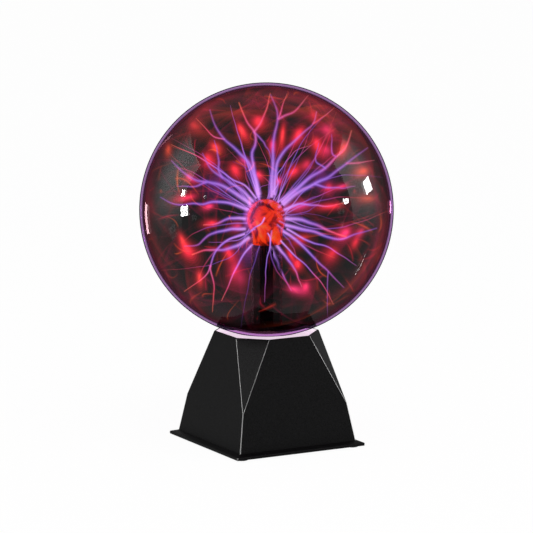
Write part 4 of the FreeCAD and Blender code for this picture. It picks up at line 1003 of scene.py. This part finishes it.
class PLASMA_OT_driver(bpy.types.Operator):
    """Finishes the driver board in the base, its parts and its wires"""
    bl_idname = "plasma.driver"
    bl_label = "Driver"

    def execute(self, context):
        # Phenolic paper laminate: brown, with the paper's fibres showing through the resin.
        coat("circuit_board", "phenolic paper laminate", ("#7a4a20", "#a06a34"), (0.35, 0.55),
             0.6 * MM, 0.01 * MM, stretch=(1, 0.15, 1))
        # Sintered ferrite: dark grey and gritty.
        coat("transformer_core", "sintered ferrite", ("#1a1a1c", "#333336"), (0.6, 0.85),
             0.4 * MM, 0.05 * MM)
        # Undyed nylon: creamy, with a low sheen.
        coat("transformer_bobbin", "moulded nylon, natural", ("#d8cfb8", "#eae3d0"), (0.4, 0.55),
             1.2 * MM, 0.02 * MM)
        # Enamelled wire: painted highlights along each turn and painted shade between the turns.
        self.wound("enamelled copper wire, wound", "primary_winding", ("#5a1c08", "#c8622c"),
                   0.6 * MM)
        # The secondary is potted in epoxy: glossy black with a few dimples.
        coat("secondary_winding", "cast epoxy, black", ("#0b0b0c", "#161617"), (0.15, 0.35),
             2.5 * MM, 0.05 * MM)
        # Moulded epoxy cases: finely blasted, dark grey.
        coat("power_transistor driver_chip", "moulded epoxy case", ("#131314", "#222224"),
             (0.5, 0.7), 0.25 * MM, 0.01 * MM)
        # Extruded aluminium: the die draws fine lines up the fins.
        coat("heatsink", "extruded aluminium", ("#9a9c9e", "#c4c6c8"), (0.3, 0.5), 0.5 * MM,
             0.01 * MM, stretch=(1, 1, 0.03), metallic=1.0)
        # Capacitors in shrunk sleeves, with their aluminium tops showing.
        tree, shader = coat("electrolytic_capacitors", "shrunk sleeve over aluminium",
                            ("#10183a", "#1a2450"), (0.25, 0.4), 2 * MM, 0.01 * MM)
        top = turned_up(tree)
        self.top_colour(tree, shader, top, "#c0c2c4")
        tree.links.new(top, shader.inputs["Metallic"])
        # Dipped lacquer: glossy and brick red, slightly lumpy.
        coat("film_capacitors", "dipped film capacitor", ("#6a160c", "#8e2414"), (0.2, 0.4),
             1.5 * MM, 0.05 * MM)
        # Baked paint: beige, with an eggshell sheen.
        coat("resistors", "baked resistor paint", ("#b89a70", "#d0b890"), (0.35, 0.5), 0.8 * MM,
             0.01 * MM)
        # The microphone's drawn can, under a disc of black felt.
        tree, shader = coat("microphone", "drawn aluminium can", ("#a8aaac", "#cccecf"),
                            (0.25, 0.4), 1 * MM, 0.005 * MM)
        felt = turned_up(tree)
        self.top_colour(tree, shader, felt, "#121212")
        bare = add(tree, "MapRange", {"Value": felt, 3: 1.0, 4: 0.0}).outputs[0]
        tree.links.new(bare, shader.inputs["Metallic"])
        # PVC and silicone insulation: a soft sheen.
        coat("switch_leads inlet_leads", "extruded PVC, red", ("#8a1010", "#b01c18"), (0.35, 0.5),
             1 * MM, 0.01 * MM)
        coat("high_voltage_lead", "extruded silicone, white", ("#cfcac4", "#e6e2dc"), (0.45, 0.6),
             1.5 * MM, 0.02 * MM)
        return {"FINISHED"}

    def top_colour(self, tree, shader, top, code):
        """Gives the faces that look up a colour of their own."""
        below = shader.inputs["Base Color"].links[0].from_socket
        tree.links.new(blend(tree, top, below, rgba(code)), shader.inputs["Base Color"])

    def wound(self, label, name, colours, pitch):
        """Turns of wire laid side by side round an upright coil."""
        material, tree, shader = principled(label, rgba(colours[1]), 0.25, metallic=1.0)
        place = add(tree, "TexCoord").outputs["Object"]
        turns = add(
            tree, "TexWave",
            {"Vector": place, "Scale": 2 * math.pi / (20 * pitch), "Distortion": 0.4,
             "Detail": 1.0, "Detail Scale": 2.0},
            wave_type="BANDS", bands_direction="Z", wave_profile="SIN").outputs["Fac"]
        # Painted light: bright on each turn's crest and dark in the grooves between the turns.
        copper_painted_turn_light = ramp(tree, turns, (0.15, colours[0]), (0.7, colours[1]))
        tree.links.new(copper_painted_turn_light, shader.inputs["Base Color"])
        bump = add(tree, "Bump", {"Height": turns, "Strength": 0.8, "Distance": pitch / 2})
        tree.links.new(bump.outputs["Normal"], shader.inputs["Normal"])
        finish_node(name, material)


# --- Stage ---------------------------------------------------------------------------------------


def softbox(name, right, up, away, wide, tall, radiance, roll=0.0, fade=None, outer=None,
            seen_by=("GLOSSY",), on=("globe", "exhaust_tip", "electrode_glass")):
    """A flat light turned towards the globe, placed so that the display side sees the globe mirror
    it at (right, up), in globe radii from its centre. wide and tall are in metres. It falls only
    on the pieces named in on, as if it were flagged off the rest."""
    data = bpy.data.lights.new(name, "AREA")
    data.shape, data.size, data.size_y = "RECTANGLE", wide, tall
    data.energy = radiance * math.pi * wide * tall
    light = bpy.data.objects.new(name, data)
    out = math.sqrt(1 - right ** 2 - up ** 2)
    place = (SEEN_RIGHT * right + SEEN_UP * up - SEEN_AHEAD * out) * (2 * out) + SEEN_AHEAD
    light.location = GLOBE_CENTRE + place * away
    facing = place.to_track_quat("Z", "Y").to_matrix() @ Matrix.Rotation(math.radians(roll), 3, "Z")
    light.rotation_euler = facing.to_euler()
    bpy.context.collection.objects.link(light)
    if fade:
        data.use_nodes = True
        tree = data.node_tree
        lamp = next(node for node in tree.nodes if node.type == "EMISSION")
        place = add(tree, "NewGeometry").outputs["Parametric"]
        axes = add(tree, "SeparateXYZ", {0: place}).outputs
        shares = [add(tree, "MapRange", {"Value": axes[axis], 1: start, 2: stop},
                      interpolation_type="SMOOTHSTEP").outputs[0]
                  for axis, (start, stop) in (("Y", fade), ("X", outer))]
        share = add(tree, "Math", {0: shares[0], 1: shares[1]}, operation="MULTIPLY").outputs[0]
        tree.links.new(share, lamp.inputs["Strength"])
    light.visible_camera = False
    light.visible_transmission = False
    light.visible_diffuse = "DIFFUSE" in seen_by
    light.visible_glossy = "GLOSSY" in seen_by
    if on:
        lit = bpy.data.collections.new(name + " falls on")
        for piece in on:
            lit.objects.link(bpy.data.objects[piece])
        light.light_linking.receiver_collection = lit


BASE_PIECES = ("base_shell", "plinth_plate", "switch_body", "switch_rocker", "dc_jack_body",
               "dc_jack_nut")

# Each light as softbox takes it: (name, right, up, away, wide, tall, radiance, what else it needs).
STUDIO = (
    ("overhead softbox", 0.1, 0.44, 1.5, 0.9, 0.7, 1.2, {"seen_by": ("DIFFUSE",), "on": ()}),
    ("facet light", -0.25, 0.27, 1.5, 0.5, 0.4, 17, {"on": BASE_PIECES}),
    ("front face light", 0.44, 0.16, 1.5, 0.5, 0.4, 10, {"on": BASE_PIECES}),
    ("left crease strip", -0.46, 0.16, 1.3, 0.5, 1.3, 2.2, {"on": BASE_PIECES}),
    ("right crease strip", 0.75, 0.14, 1.3, 0.4, 1.3, 2.2, {"on": BASE_PIECES}),
    ("left strip", -0.765, 0.17, 1.3, 1.3, 1.45, 4.2, {"fade": (0.0, 0.7), "outer": (0.1, 0.7)}),
    ("right strip", 0.77, 0.17, 1.3, 1.25, 1.45, 4.2, {"fade": (0.0, 0.7), "outer": (0.9, 0.3)}),
    ("right window", 0.769, 0.186, 1.5, 0.27, 0.19, 90, {"roll": 4}),
    ("right square", 0.6, 0.061, 1.5, 0.15, 0.1, 110, {"roll": -8}),
    ("left window", -0.621, -0.011, 1.5, 0.21, 0.19, 90, {"roll": 12}),
    ("left square", -0.627, 0.123, 1.5, 0.11, 0.12, 90, {"roll": 6}),
    ("dim left square", -0.464, 0.094, 1.5, 0.05, 0.05, 28, {}),
    ("left rim window", -0.929, -0.052, 1.5, 0.15, 0.26, 26, {}),
    ("right rim window", 0.958, 0.043, 1.5, 0.1, 0.08, 26, {}),
    ("low right tube", 0.726, -0.418, 1.5, 0.015, 0.3, 22, {"roll": 18}),
    ("high left tube", -0.775, 0.54, 1.5, 0.05, 0.3, 4, {"roll": -30}),
)


class PLASMA_OT_stage(bpy.types.Operator):
    """Sets the pale floor, the soft studio light and the camera"""
    bl_idname = "plasma.stage"
    bl_label = "Stage"

    def execute(self, context):
        scene = context.scene
        data = bpy.data.cameras.new("camera")
        data.lens, data.sensor_width, data.clip_end = VIEW_LENS, 36.0, 50.0
        camera = bpy.data.objects.new("camera", data)
        camera.location = (
            VIEW_AWAY * math.sin(VIEW_TURN), -VIEW_AWAY * math.cos(VIEW_TURN), VIEW_HEIGHT)
        camera.rotation_euler = (math.pi / 2 - VIEW_DIP, 0.0, VIEW_TURN)
        context.collection.objects.link(camera)
        scene.camera = camera

        # Evenly lit white paper: it glows a little, so that only a faint contact shadow shows.
        paper, tree, shader = principled("white paper", rgba("#6a6a6a"), 1.0)
        shader.inputs["Specular IOR Level"].default_value = 0.0
        shader.inputs["Emission Color"].default_value = grey(1.0)
        shader.inputs["Emission Strength"].default_value = 0.96
        mesh = bpy.data.meshes.new("floor")
        half = 8.0
        mesh.from_pydata([(-half, -half, 0), (half, -half, 0), (half, half, 0), (-half, half, 0)],
                         [], [(0, 1, 2, 3)])
        mesh.materials.append(paper)
        floor = bpy.data.objects.new("floor", mesh)
        context.collection.objects.link(floor)
        floor.visible_glossy = False

        world = bpy.data.worlds.new("white studio")
        world.use_nodes = True
        tree = world.node_tree
        tree.nodes.clear()
        paths = add(tree, "LightPath").outputs
        room = add(tree, "Background", {"Color": grey(1.0), "Strength": 0.17})
        # The room is dim on the display side, where the viewer stands, and bright behind.
        way = add(tree, "TexCoord").outputs["Generated"]
        ahead = add(tree, "VectorMath", {0: way, 1: SEEN_AHEAD}, operation="DOT_PRODUCT")
        bright = add(tree, "MapRange", {
            "Value": ahead.outputs["Value"], 1: -0.5, 2: 0.3, 3: 0.16, 4: 0.5}).outputs[0]
        walls = add(tree, "Background", {"Color": grey(1.0), "Strength": bright})
        backdrop = add(tree, "Background", {"Color": grey(1.0), "Strength": 1.0})
        mirrored = add(tree, "MixShader", {
            0: paths["Is Glossy Ray"], 1: room.outputs[0], 2: walls.outputs[0]})
        seen_straight = add(tree, "MixShader", {
            0: paths["Is Camera Ray"], 1: mirrored.outputs[0], 2: backdrop.outputs[0]})
        end = add(tree, "OutputWorld")
        tree.links.new(seen_straight.outputs[0], end.inputs["Surface"])
        scene.world = world
        scene.view_settings.view_transform = "Standard"
        # Light from the far side of the globe comes through hundreds of thin layers of gas.
        scene.cycles.transparent_max_bounces = 1024
        scene.cycles.min_transparent_bounces = 1024

        for *placed, more in STUDIO:
            softbox(*placed, **more)
        return {"FINISHED"}


class PLASMA_PT_panel(bpy.types.Panel):
    """The plasma ball's steps and settings"""
    bl_idname = "PLASMA_PT_panel"
    bl_label = "Plasma ball"
    bl_space_type = "VIEW_3D"
    bl_region_type = "UI"
    bl_category = "Plasma ball"

    def draw(self, context):
        for operator in OPERATORS:
            self.layout.operator(operator.bl_idname)
        for group in ("plasma_glass", "plasma_streamers", "plasma_base"):
            settings = getattr(context.scene, group)
            for name in settings.__annotations__:
                self.layout.prop(settings, name)


SETTINGS = {
    "plasma_glass": PlasmaGlassSettings,
    "plasma_streamers": PlasmaStreamerSettings,
    "plasma_base": PlasmaBaseSettings,
}
OPERATORS = (
    PLASMA_OT_globe,
    PLASMA_OT_electrode,
    PLASMA_OT_streamers,
    PLASMA_OT_wisps,
    PLASMA_OT_base,
    PLASMA_OT_controls,
    PLASMA_OT_driver,
    PLASMA_OT_stage,
)
CLASSES = (*SETTINGS.values(), *OPERATORS, PLASMA_PT_panel)


def register():
    for item in CLASSES:
        bpy.utils.register_class(item)
    for name, group in SETTINGS.items():
        setattr(bpy.types.Scene, name, PointerProperty(type=group))


def unregister():
    for name in SETTINGS:
        delattr(bpy.types.Scene, name)
    for item in reversed(CLASSES):
        bpy.utils.unregister_class(item)


def main():
    register()
    bpy.ops.plasma.globe()
    bpy.ops.plasma.electrode()
    bpy.ops.plasma.streamers()
    bpy.ops.plasma.wisps()
    bpy.ops.plasma.base()
    bpy.ops.plasma.controls()
    bpy.ops.plasma.driver()
    bpy.ops.plasma.stage()


if __name__ == "__main__":
    main()
